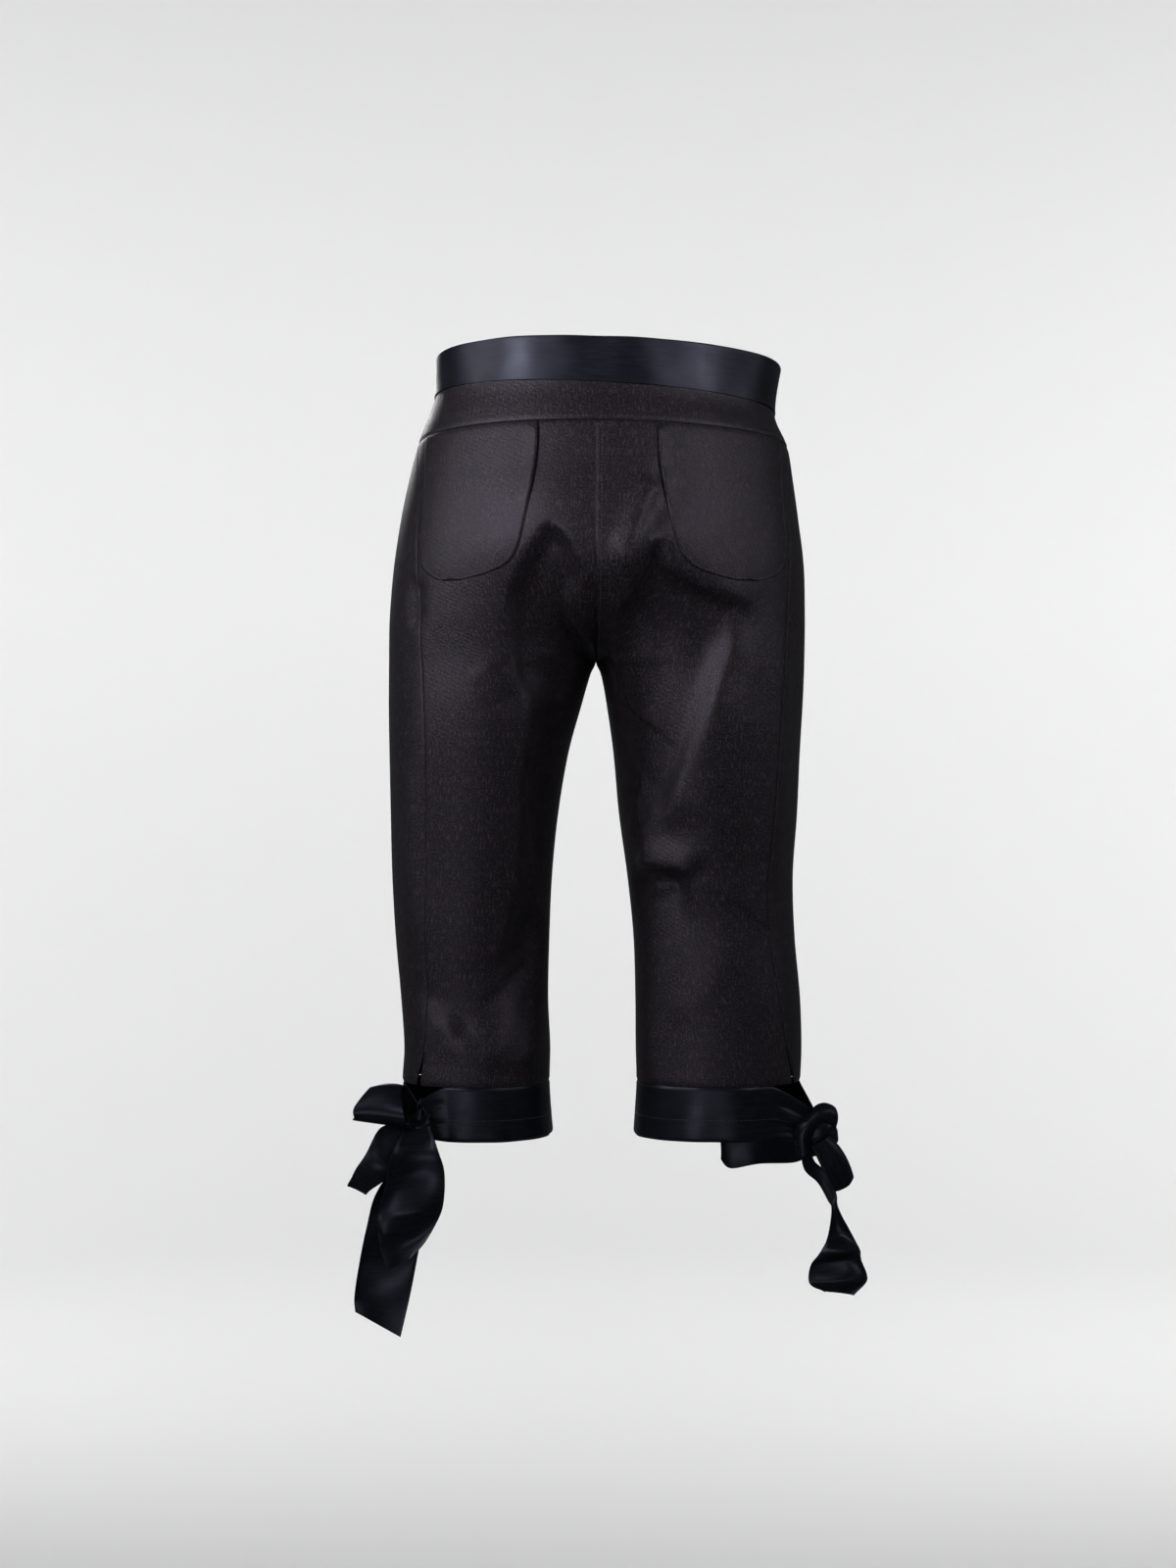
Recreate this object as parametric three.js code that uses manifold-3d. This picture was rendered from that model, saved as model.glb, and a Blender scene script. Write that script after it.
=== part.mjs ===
// Capri pants in black sateen with satin trim, filled out as when worn: a satin waistband, a shaped yoke,
// two back patch pockets, knee-length legs, and satin hem bands whose ends tie in a bow at each outer side.
// Millimetres, +Z up. The garment's front faces -Y and the wearer's left is +X. The origin is the middle of
// the waist, halfway up the waistband, where the wearer holds the garment up.
import * as THREE from "three";
import Module from "manifold-3d";

const wasm = await Module();
wasm.setup();

// Thicknesses and clearances
const CLOTH = 1.4;
const BAND_WALL = 2.4; // the waistband is folded double
const HEM_WALL = 1.6;
const RIBBON = 1.0;
const SEAM_GAP = 0.3;
const HALF_GAP = SEAM_GAP / 2;

// Levels, counted from the middle of the waistband
const BAND_TOP = 15.6;
const BAND_SEAM = -18.8;
const YOKE_SEAM = -52.8;
const SEAT = -130; // the centre seams start to curve under the body here
const CROTCH = -227;
const HEM_SEAM = -567;
const HEM_EDGE = -610.5;
const THIGH = -300; // the two legs are fully parted from the seat form here
const SLIT_TOP = -528;
const SLIT_OPEN = 2.6; // half the width of the side slit at the hem seam

// Shape of the sections
const TORSO_POWER = 2.2; // of the superellipse, 2 is an ellipse
const LEG_POWER = 2.08;
const CROTCH_Y = 2;
const INNER_SHARE = 0.42; // how far from the centre seam the crotch curve shapes a panel, as a share of its width

const LEFT = 1;
const RIGHT = -1;
const RAD = Math.PI / 180;

// Half sections of the waist and seat: half widths to each side, depths to back and front, the side seam's
// angle on each side, counted from straight out to the side towards the back, how much higher each mm to the
// left lies, and how much higher the centre back lies than the sides.
const TORSO = [
  { z: 20, left: 127, right: 149.5, back: 93, front: 90, seamLeft: 9, seamRight: 5, lean: 0.026, rise: 9 },
  { z: -19, left: 130.5, right: 145.5, back: 98, front: 95, seamLeft: 10, seamRight: 5, lean: 0.049, rise: 7 },
  { z: -53, left: 144.5, right: 156, back: 109, front: 101, seamLeft: 12, seamRight: 7, lean: 0.01, rise: 10.5 },
  { z: -80, left: 151.5, right: 160.5, back: 118, front: 105, seamLeft: 21, seamRight: 15, lean: 0.012, rise: 4 },
  { z: -110, left: 158, right: 164.5, back: 125, front: 107, seamLeft: 28, seamRight: 22, lean: 0.006, rise: 2 },
  { z: -150, left: 164.3, right: 169.2, back: 128, front: 107, seamLeft: 32, seamRight: 26, lean: 0, rise: 0 },
  { z: -190, left: 168, right: 170.4, back: 122, front: 104, seamLeft: 35, seamRight: 29, lean: 0, rise: 0 },
  { z: -227, left: 168.8, right: 170, back: 111, front: 99, seamLeft: 37, seamRight: 31, lean: 0, rise: 0 },
  { z: -300, left: 168, right: 166, back: 96, front: 92, seamLeft: 40, seamRight: 34, lean: 0, rise: 0 },
];

// Sections of the legs: distance from the centre plane to the outer and inner sides, depths to back and front,
// and the side seam's angle.
const LEFT_LEG = [
  { z: -130, outer: 161.5, inner: 0, back: 112, front: 96, seam: 48 },
  { z: -190, outer: 168, inner: 0, back: 107, front: 92, seam: 50 },
  { z: -227, outer: 168.8, inner: 0, back: 101, front: 89, seam: 52 },
  { z: -236, outer: 168.8, inner: 4, back: 99.5, front: 88.5, seam: 53 },
  { z: -260, outer: 168.8, inner: 11, back: 96, front: 87, seam: 55 },
  { z: -300, outer: 168, inner: 22, back: 89, front: 84, seam: 58 },
  { z: -350, outer: 167, inner: 30.5, back: 80, front: 80, seam: 59 },
  { z: -400, outer: 165.8, inner: 35.5, back: 72, front: 75, seam: 59 },
  { z: -450, outer: 163, inner: 37.7, back: 67, front: 70, seam: 56 },
  { z: -500, outer: 158.6, inner: 38.7, back: 66, front: 66, seam: 52 },
  { z: -540, outer: 156, inner: 37, back: 66, front: 62, seam: 47 },
  { z: -568, outer: 157.5, inner: 37.5, back: 66, front: 60, seam: 43 },
  { z: -620, outer: 156, inner: 35, back: 65, front: 59, seam: 43 },
];
const RIGHT_LEG = [
  { z: -130, outer: 167, inner: 0, back: 112, front: 96, seam: 36 },
  { z: -190, outer: 170.4, inner: 0, back: 107, front: 92, seam: 39 },
  { z: -227, outer: 170, inner: 0, back: 101, front: 89, seam: 42 },
  { z: -236, outer: 169.8, inner: 3.8, back: 99.5, front: 88.5, seam: 43 },
  { z: -260, outer: 168.6, inner: 8.4, back: 96, front: 87, seam: 44 },
  { z: -300, outer: 166, inner: 14, back: 89, front: 84, seam: 46 },
  { z: -350, outer: 163.8, inner: 18.6, back: 81, front: 80, seam: 48 },
  { z: -400, outer: 160.4, inner: 25.4, back: 73, front: 75, seam: 51 },
  { z: -450, outer: 161.9, inner: 30.5, back: 67, front: 70, seam: 51 },
  { z: -500, outer: 166.3, inner: 32, back: 65, front: 66, seam: 46 },
  { z: -540, outer: 167.5, inner: 32.3, back: 64, front: 62, seam: 39 },
  { z: -568, outer: 166.4, inner: 32.8, back: 64, front: 60, seam: 28 },
  { z: -620, outer: 165, inner: 29.5, back: 63, front: 59, seam: 28 },
];

// Folds, seen from the back or the front: the line of x and z that the crest follows, how high it stands, how
// far it runs out on the left hand and on the right hand of the way along it, how deep the right hand side dips
// as a share of its height, and how far it takes to come back up. A minus height makes a trough.
const FOLDS = [
  {
    face: "back",
    crest: [
      [1, -184], [10, -152], [22, -131], [38, -123], [52, -140], [65, -163], [71, -186], [69, -224],
      [64, -262],
    ],
    high: 2.6, gentle: 38, steep: 12, dip: 1.9, reach: 56, fade: 24,
  },
  {
    face: "back",
    crest: [[62, -230], [58, -280], [64, -330], [66, -389], [76, -450], [98, -494]],
    high: 3, gentle: 46, steep: 26, dip: 0.2, reach: 52, fade: 50,
  },
  {
    face: "back",
    crest: [[-50, -84], [-38, -108], [-14, -160]],
    high: 3, gentle: 13, steep: 9, dip: 0.6, reach: 20, fade: 18,
  },
  {
    face: "back",
    crest: [
      [-128, -186], [-112, -179], [-80, -168], [-61, -156], [-48, -136], [-36, -153], [-22, -176],
      [-12, -206],
    ],
    high: 3, gentle: 24, steep: 12, dip: 2, reach: 75, fade: 22,
  },
  {
    face: "back",
    crest: [[-56, -369], [-72, -327], [-92, -271], [-106, -230], [-117, -192]],
    high: 4.8, gentle: 46, steep: 18, dip: 1.5, reach: 60, fade: 36,
  },
  {
    face: "back",
    crest: [[-80, -399], [-68, -391], [-48, -389], [-28, -388]],
    high: 5.5, gentle: 20, steep: 11, dip: 1.3, reach: 46, fade: 14,
  },
  {
    face: "back",
    crest: [[38, -428], [65, -479], [90, -507], [118, -528]],
    high: -3.6, gentle: 40, steep: 22, dip: 0, reach: 30, fade: 20,
  },
  {
    face: "back",
    crest: [[116, -526], [102, -534], [82, -538], [60, -541], [40, -542]],
    high: 4, gentle: 12, steep: 26, dip: 0, reach: 20, fade: 16,
  },
  {
    face: "front",
    crest: [[4, -196], [30, -204], [62, -216]],
    high: 3.5, gentle: 14, steep: 20, dip: 0.2, reach: 30, fade: 25,
  },
  {
    face: "front",
    crest: [[-66, -222], [-34, -208], [-4, -198]],
    high: 3.5, gentle: 14, steep: 20, dip: 0.2, reach: 30, fade: 25,
  },
  {
    face: "front",
    crest: [[96, -420], [112, -340], [130, -250]],
    high: 3.5, gentle: 24, steep: 24, dip: 0, reach: 30, fade: 50,
  },
  {
    face: "front",
    crest: [[-126, -240], [-112, -310], [-98, -390]],
    high: 3, gentle: 22, steep: 22, dip: 0, reach: 30, fade: 50,
  },
  {
    face: "front",
    crest: [[50, -280], [48, -335], [51, -390]],
    high: 3, gentle: 22, steep: 22, dip: 0, reach: 30, fade: 34,
  },
  {
    face: "front",
    crest: [[48, -442], [90, -458], [132, -470]],
    high: -3.5, gentle: 20, steep: 12, dip: 0, reach: 30, fade: 25,
  },
  {
    face: "front",
    crest: [[-126, -462], [-84, -448], [-44, -430]],
    high: -3.5, gentle: 20, steep: 12, dip: 0, reach: 30, fade: 25,
  },
];

// Outline of a back pocket: half widths of the seat from the centre plane to its inner edge, and the share of
// the way from there to the side seam that its outer edge reaches, at shares of its height.
const POCKET_DROP = 114.5;
const POCKET_LIFT = 0.6;
const POCKET_OUTLINE = [
  { down: 0, inner: 45, outer: 0.925 },
  { down: 0.15, inner: 45.4, outer: 0.93 },
  { down: 0.34, inner: 48.3, outer: 0.936 },
  { down: 0.5, inner: 51.8, outer: 0.955 },
  { down: 0.65, inner: 55.2, outer: 0.968 },
  { down: 0.755, inner: 58.3, outer: 0.968 },
  { down: 0.83, inner: 62, outer: 0.966 },
  { down: 0.884, inner: 67.3, outer: 0.954 },
  { down: 0.925, inner: 75.5, outer: 0.898 },
  { down: 0.96, inner: 87, outer: 0.8 },
  { down: 0.985, inner: 99, outer: 0.62 },
  { down: 1, inner: 107, outer: 0.35 },
];

// The knots, each with its half sizes
const KNOTS = {
  left: { x: 140, y: 67, z: -594, rx: 10.5, ry: 9.5, rz: 13 },
  right: { x: -180, y: 33, z: -606, rx: 14.5, ry: 11.5, rz: 19.5 },
};
const BAND_DRAW = 44; // how far from its end a hem band starts to leave the leg for the knot
const BAND_END = 13; // a band's height at the knot

// Loops and tails of the bows, as the two edges of the ribbon at stations from the knot, and how far it bows
// out between its edges.
const RIBBONS = {
  bow_left_loop_upper: [
    { ax: 150, ay: 60, az: -587, bx: 139, by: 62, bz: -589, bow: 0 },
    { ax: 178, ay: 60, az: -575, bx: 141, by: 61, bz: -578, bow: 1 },
    { ax: 184, ay: 68, az: -564, bx: 148, by: 68, bz: -570, bow: 1 },
    { ax: 187, ay: 80, az: -566, bx: 155, by: 80, bz: -572, bow: 1 },
    { ax: 190, ay: 88, az: -577, bx: 157, by: 88, bz: -582, bow: 1 },
    { ax: 189, ay: 84, az: -587, bx: 154, by: 84, bz: -592, bow: 1 },
    { ax: 170, ay: 75, az: -590, bx: 147, by: 78, bz: -594, bow: 1 },
    { ax: 148, ay: 70, az: -590, bx: 139, by: 74, bz: -594, bow: 0 },
  ],
  bow_left_loop_lower: [
    { ax: 150, ay: 71, az: -596, bx: 143, by: 73, bz: -602, bow: 0 },
    { ax: 172, ay: 80, az: -598, bx: 152, by: 81, bz: -610, bow: 1 },
    { ax: 187, ay: 80, az: -620, bx: 163, by: 83, bz: -633, bow: 2.5 },
    { ax: 195, ay: 73, az: -640, bx: 179, by: 77, bz: -646, bow: 1 },
    { ax: 196, ay: 65, az: -643, bx: 181, by: 66, bz: -649, bow: 0 },
    { ax: 189, ay: 58, az: -629, bx: 170, by: 57, bz: -637, bow: -1 },
    { ax: 170, ay: 58, az: -606, bx: 157, by: 57, bz: -617, bow: -1 },
    { ax: 151, ay: 62, az: -594, bx: 144, by: 62, bz: -600, bow: 0 },
  ],
  bow_left_tail_near: [
    { ax: 143, ay: 76, az: -600, bx: 133, by: 76, bz: -599, bow: 0 },
    { ax: 156, ay: 88, az: -617, bx: 131, by: 86, bz: -618, bow: 2 },
    { ax: 165, ay: 88, az: -640, bx: 121, by: 86, bz: -638, bow: 4 },
    { ax: 170, ay: 83, az: -666, bx: 121, by: 81, bz: -663, bow: -4 },
    { ax: 169, ay: 85, az: -687, bx: 131, by: 83, bz: -684, bow: 3 },
    { ax: 165, ay: 85, az: -709, bx: 147, by: 83, bz: -702, bow: 2 },
  ],
  bow_left_tail_far: [
    { ax: 142, ay: 67, az: -605, bx: 135, by: 69, bz: -605, bow: 0 },
    { ax: 160, ay: 70, az: -628, bx: 136, by: 73, bz: -626, bow: 1 },
    { ax: 175, ay: 71, az: -652, bx: 136, by: 73, bz: -652, bow: 3 },
    { ax: 182, ay: 70, az: -677, bx: 137, by: 72, bz: -675, bow: -3 },
    { ax: 188, ay: 68, az: -705, bx: 142, by: 72, bz: -702, bow: 4 },
    { ax: 192, ay: 66, az: -733, bx: 148, by: 70, bz: -733, bow: 5 },
    { ax: 191, ay: 66, az: -745, bx: 155, by: 70, bz: -764, bow: 5 },
  ],
  bow_right_loop_near: [
    { ax: -187.4, ay: 45, az: -651, bx: -171.9, by: 50, bz: -613.9, bow: 0 },
    { ax: -193.7, ay: 43, az: -647.6, bx: -176.1, by: 45.4, bz: -611.7, bow: 0 },
    { ax: -202.6, ay: 43, az: -642.9, bx: -182, by: 46, bz: -608.5, bow: 0 },
    { ax: -207.9, ay: 46, az: -640.1, bx: -185.5, by: 52, bz: -606.6, bow: 0 },
    { ax: -202.6, ay: 49, az: -642.9, bx: -182, by: 58, bz: -608.5, bow: 0 },
    { ax: -192, ay: 49, az: -648.5, bx: -175, by: 58, bz: -612.3, bow: 0 },
    { ax: -187, ay: 47, az: -651.2, bx: -171.6, by: 53.5, bz: -614.1, bow: 0 },
  ],
  bow_right_loop_far: [
    { ax: -182, ay: 26, az: -598, bx: -182, by: 26, bz: -609, bow: 0 },
    { ax: -181, ay: -2, az: -600, bx: -180, by: -2, bz: -625, bow: 1 },
    { ax: -167, ay: -38, az: -603, bx: -166, by: -38, bz: -640, bow: 1 },
    { ax: -135, ay: -63, az: -606, bx: -135, by: -64, bz: -645, bow: 1 },
    { ax: -108, ay: -72, az: -610, bx: -110, by: -73, bz: -649, bow: 1 },
    { ax: -106, ay: -80, az: -611, bx: -108, by: -81, bz: -649, bow: 1 },
    { ax: -136, ay: -82, az: -605, bx: -138, by: -82, bz: -644, bow: 1 },
    { ax: -176, ay: -50, az: -601, bx: -176, by: -50, bz: -638, bow: 1 },
    { ax: -191, ay: -6, az: -600, bx: -191, by: -6, bz: -626, bow: 1 },
    { ax: -187, ay: 26, az: -599, bx: -187, by: 26, bz: -610, bow: 0 },
  ],
  bow_right_tail_near: [
    { ax: -164, ay: 34, az: -617, bx: -172, by: 34, bz: -619, bow: 0 },
    { ax: -168, ay: 25, az: -637, bx: -177, by: 25, bz: -631, bow: 0 },
    { ax: -179, ay: 24, az: -648, bx: -187, by: 24, bz: -640, bow: 0 },
    { ax: -187, ay: 26, az: -662, bx: -194, by: 26, bz: -656, bow: 0 },
    { ax: -188, ay: 28, az: -670, bx: -193, by: 31, bz: -667, bow: 1 },
    { ax: -187, ay: 29, az: -687, bx: -200, by: 35, bz: -684, bow: 3 },
    { ax: -178, ay: 29, az: -708, bx: -212, by: 37, bz: -705, bow: 4 },
    { ax: -172, ay: 29, az: -728, bx: -217, by: 35, bz: -724, bow: 3 },
    { ax: -181, ay: 29, az: -734, bx: -209, by: 34, bz: -732, bow: 2 },
  ],
  bow_right_tail_far: [
    { ax: -179, ay: 26, az: -620, bx: -188, by: 26, bz: -616, bow: 0 },
    { ax: -184, ay: 17, az: -632, bx: -198, by: 17, bz: -628, bow: 1 },
    { ax: -188, ay: 15, az: -645, bx: -203, by: 15, bz: -640, bow: 1 },
  ],
};

// The fold of ribbon that comes round the right knot, as RIBBONS
const WRAP_WALL = 2;
const WRAP = [
  { ax: -160.3, ay: 43, az: -623.4, bx: -172.8, by: 43, bz: -623.4, bow: 4.5 },
  { ax: -158.7, ay: 43, az: -607.7, bx: -172, by: 43, bz: -611.6, bow: 5 },
  { ax: -161.8, ay: 43, az: -597.5, bx: -174.4, by: 44, bz: -603.8, bow: 5 },
  { ax: -168.1, ay: 42, az: -591.3, bx: -178.3, by: 44, bz: -599.1, bow: 5 },
  { ax: -176.7, ay: 41, az: -583.4, bx: -183, by: 44, bz: -596.7, bow: 5 },
  { ax: -184.5, ay: 40, az: -581.9, bx: -186.1, by: 43, bz: -597.5, bow: 4.5 },
  { ax: -192.4, ay: 38, az: -586.6, bx: -187.7, by: 41, bz: -599.9, bow: 4 },
  { ax: -193.1, ay: 36, az: -596.7, bx: -186.9, by: 39, bz: -604.6, bow: 3 },
];

const smooth = (t) => {
  const c = Math.min(1, Math.max(0, t));
  return c * c * (3 - 2 * c);
};
const lerp = (a, b, t) => a + (b - a) * t;

// The value of a table's column between its rows, on a smooth curve. key is the column that orders the rows.
function read(rows, name, at, key = "z") {
  const way = rows[0][key] < rows[1][key] ? 1 : -1;
  const last = rows.length - 1;
  if (way * (at - rows[0][key]) <= 0) return rows[0][name];
  if (way * (at - rows[last][key]) >= 0) return rows[last][name];
  const i = rows.findIndex((r) => way * (r[key] - at) > 0) - 1;
  const slope = (k) => {
    const a = rows[Math.max(0, k - 1)];
    const b = rows[Math.min(last, k + 1)];
    return (b[name] - a[name]) / (b[key] - a[key]);
  };
  const span = rows[i + 1][key] - rows[i][key];
  const t = (at - rows[i][key]) / span;
  const [p, q] = [rows[i][name], rows[i + 1][name]];
  const [m, n] = [slope(i) * span, slope(i + 1) * span];
  return p + t * (m + t * (3 * (q - p) - 2 * m - n + t * (2 * (p - q) + m + n)));
}

for (const fold of FOLDS) {
  const rows = fold.crest.map(([x, z], at) => ({ at, x, z }));
  const count = 5 * (rows.length - 1) + 1;
  fold.line = Array.from({ length: count }, (_, i) => ["x", "z"].map((c) => read(rows, c, i / 5, "at")));
  const steps = fold.line.slice(1).map(([x, z], i) => Math.hypot(x - fold.line[i][0], z - fold.line[i][1]));
  fold.length = steps.reduce((a, b) => a + b, 0);
}

// A point of a superellipse at an angle in degrees, with half axes a and b
function superellipse(angle, a, b, power) {
  const c = Math.cos(angle * RAD);
  const s = Math.sin(angle * RAD);
  const round = (u) => Math.sign(u) * Math.abs(u) ** (2 / power);
  return [a * round(c), b * round(s)];
}

// The cloth's outer face with no folds. side is LEFT or RIGHT, level is the height at the side seam, and around
// runs from 0 at the centre back or inseam, past 1 at the side seam, to 2 at the centre front or inseam.
function bodyPoint(side, level, around) {
  const leg = side === LEFT ? LEFT_LEG : RIGHT_LEG;
  const half = read(TORSO, side === LEFT ? "left" : "right", level);
  const torsoSeam = read(TORSO, side === LEFT ? "seamLeft" : "seamRight", level);
  const legSeam = read(leg, "seam", level);
  const isBack = around <= 1;
  const edge = isBack ? around : 2 - around;

  const torsoAngle = isBack ? 90 - edge * (90 - torsoSeam) : edge * (90 + torsoSeam) - 90;
  const torsoDepth = read(TORSO, torsoAngle > 0 ? "back" : "front", level);
  const [tx, ty] = superellipse(torsoAngle, half, torsoDepth, TORSO_POWER);

  const [outer, inner] = [read(leg, "outer", level), Math.max(0, read(leg, "inner", level))];
  const legAngle = isBack ? 180 - edge * (180 - legSeam) : edge * (180 + legSeam) - 180;
  const legDepth = read(leg, legAngle > 0 ? "back" : "front", level);
  const [lx, ly] = superellipse(legAngle, (outer - inner) / 2, legDepth, LEG_POWER);

  const away = smooth(edge / INNER_SHARE);
  const down = Math.min(1, Math.max(0, (SEAT - level) / (SEAT - CROTCH)));
  const arc = 1 - Math.cos(90 * down * RAD);
  const parted = lerp(arc, smooth((SEAT - level) / (SEAT - THIGH)), away);
  const underSeat = down < 1 ? SEAT + (CROTCH - SEAT) * Math.sin(90 * down * RAD) : level;
  const seamZ = level > SEAT ? level : underSeat;

  const x = lerp(tx, (outer + inner) / 2 + lx, parted) + HALF_GAP;
  const inseam = CROTCH_Y + (isBack ? HALF_GAP : -HALF_GAP);
  const y = lerp(ty, ly + inseam * (1 - away), parted);
  const rise = read(TORSO, "rise", level) * Math.sin(torsoAngle * RAD);
  const lean = read(TORSO, "lean", level) * side * x;
  return new THREE.Vector3(side * x, y, lerp(seamZ, level, away) + rise + lean);
}

// How far the folds lift the cloth at a place seen from the back or the front
function foldHeight(face, x, z) {
  const bell = (away, reach) => Math.exp(-((away / reach) ** 2));
  let lift = 0;
  for (const f of FOLDS.filter((row) => row.face === face)) {
    const near = nearestOn(f.line, x, z);
    const taper = smooth(near.along / f.fade) * smooth((f.length - near.along) / f.fade);
    const right = (1 + f.dip) * bell(near.left, f.steep) - f.dip * bell(near.left, f.reach);
    lift += f.high * taper * (near.left > 0 ? bell(near.left, f.gentle) : right);
  }
  return lift;
}

// The nearest place of a line of points: how far along it lies, and how far off to the line's left x and z are
function nearestOn(line, x, z) {
  let best = { away: Infinity };
  let before = 0;
  for (let i = 0; i < line.length - 1; i++) {
    const [[x1, z1], [x2, z2]] = [line[i], line[i + 1]];
    const [dx, dz] = [x2 - x1, z2 - z1];
    const length = Math.hypot(dx, dz);
    const t = Math.min(1, Math.max(0, ((x - x1) * dx + (z - z1) * dz) / length ** 2));
    const away = Math.hypot(x - x1 - t * dx, z - z1 - t * dz);
    const side = Math.sign(dx * (z - z1) - dz * (x - x1));
    if (away < best.away) best = { away, left: side * away, along: before + t * length };
    before += length;
  }
  return best;
}

// The outward direction of a surface given as a function of two values
function normalOf(surface, side, level, around) {
  const [step, turn] = [1, 0.004];
  const [a0, a1] = [Math.max(0, around - turn), Math.min(2, around + turn)];
  const across = surface(side, level, a1).sub(surface(side, level, a0));
  const along = surface(side, level - step, around).sub(surface(side, level + step, around));
  const onCentre = around === 0 || around === 2;
  if (onCentre && level === CROTCH) return new THREE.Vector3(0, 0, -1);
  if (onCentre && level > CROTCH) {
    return new THREE.Vector3(0, -along.z, along.y).multiplyScalar(around === 0 ? 1 : -1).normalize();
  }
  return across.cross(along).multiplyScalar(side).normalize();
}

// The cloth's outer face with its folds
function clothPoint(side, level, around) {
  const p = bodyPoint(side, level, around);
  const n = normalOf(bodyPoint, side, level, around);
  const fade = smooth(Math.abs(n.y) * 1.6) * smooth((YOKE_SEAM - 8 - level) / 30) * smooth((level - HEM_SEAM - 4) / 22);
  p.addScaledVector(n, fade * foldHeight(n.y > 0 ? "back" : "front", p.x, p.z));
  return p;
}

// A closed wall between an outer and an inner sheet of points, each a list of rows
function wall(outer, inner) {
  const [rows, columns] = [outer.length, outer[0].length];
  const points = [...outer.flat(), ...inner.flat()];
  const at = (sheet, i, j) => (sheet * rows + i) * columns + j;
  const faces = [];
  const quad = (a, b, c, d) => faces.push(a, b, c, a, c, d);
  for (let i = 0; i < rows - 1; i++) {
    for (let j = 0; j < columns - 1; j++) {
      quad(at(0, i, j), at(0, i + 1, j), at(0, i + 1, j + 1), at(0, i, j + 1));
      quad(at(1, i, j), at(1, i, j + 1), at(1, i + 1, j + 1), at(1, i + 1, j));
    }
    quad(at(0, i, 0), at(1, i, 0), at(1, i + 1, 0), at(0, i + 1, 0));
    const e = columns - 1;
    quad(at(0, i, e), at(0, i + 1, e), at(1, i + 1, e), at(1, i, e));
  }
  for (let j = 0; j < columns - 1; j++) {
    quad(at(0, 0, j), at(0, 0, j + 1), at(1, 0, j + 1), at(1, 0, j));
    const e = rows - 1;
    quad(at(0, e, j), at(1, e, j), at(1, e, j + 1), at(0, e, j + 1));
  }
  return facingOut(points, faces);
}

// A geometry of these points and triangles, turned so that its faces point out
function facingOut(points, faces) {
  let volume = 0;
  for (let i = 0; i < faces.length; i += 3) {
    const [a, b, c] = [points[faces[i]], points[faces[i + 1]], points[faces[i + 2]]];
    volume += a.dot(b.clone().cross(c));
  }
  if (volume < 0) {
    for (let i = 0; i < faces.length; i += 3) [faces[i], faces[i + 1]] = [faces[i + 1], faces[i]];
  }
  const geometry = new THREE.BufferGeometry().setFromPoints(points);
  geometry.setIndex(faces);
  return geometry;
}

// Evenly spaced values from a to b
const spread = (a, b, count) => Array.from({ length: count }, (_, i) => lerp(a, b, i / (count - 1)));

// The outer sheets of the panels that other pieces lie on, by name
const sheets = {};

// A wall on the cloth. levels and columns are the grid's rows and columns, each column with its side, and lift
// is how far the wall's outer face stands off the cloth's.
function clothWall(name, levels, columns, thickness, lift = () => 0) {
  const outer = [];
  const inner = [];
  for (const [i, level] of levels.entries()) {
    const rowOut = [];
    const rowIn = [];
    for (const [j, c] of columns.entries()) {
      const around = typeof c.around === "function" ? c.around(level) : c.around;
      const p = clothPoint(c.side, level, around);
      const n = normalOf(clothPoint, c.side, level, around);
      const out = lift(i, j);
      rowOut.push(p.clone().addScaledVector(n, out));
      rowIn.push(p.clone().addScaledVector(n, out - thickness));
    }
    outer.push(rowOut);
    inner.push(rowIn);
  }
  sheets[name] = outer;
  return wall(outer, inner);
}

// The place on a sheet's facets that is seen at x and z from the back or the front
function onFacets(sheet, x, z) {
  for (let i = 0; i < sheet.length - 1; i++) {
    for (let j = 0; j < sheet[i].length - 1; j++) {
      const [a, b, c, d] = [[i, j], [i + 1, j], [i + 1, j + 1], [i, j + 1]];
      for (const corners of [[a, b, c], [a, c, d]]) {
        const [p, q, r] = corners.map(([k, l]) => sheet[k][l]);
        const area = (q.x - p.x) * (r.z - p.z) - (r.x - p.x) * (q.z - p.z);
        const u = ((x - p.x) * (r.z - p.z) - (r.x - p.x) * (z - p.z)) / area;
        const v = ((q.x - p.x) * (z - p.z) - (x - p.x) * (q.z - p.z)) / area;
        if (u < -1e-3 || v < -1e-3 || u + v > 1 + 1e-3) continue;
        const n = q.clone().sub(p).cross(r.clone().sub(p)).normalize();
        return { point: new THREE.Vector3(x, p.y + u * (q.y - p.y) + v * (r.y - p.y), z), normal: n, corners };
      }
    }
  }
  return null;
}

// The points of a sheet and the middles of its facets' edges
function ridgePoints(sheet) {
  const points = [];
  for (let i = 0; i < sheet.length - 1; i++) {
    for (let j = 0; j < sheet[i].length - 1; j++) {
      const a = sheet[i][j];
      points.push(a, ...[sheet[i + 1][j], sheet[i][j + 1], sheet[i + 1][j + 1]].map((b) => a.clone().lerp(b, 0.5)));
    }
  }
  return points;
}

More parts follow.
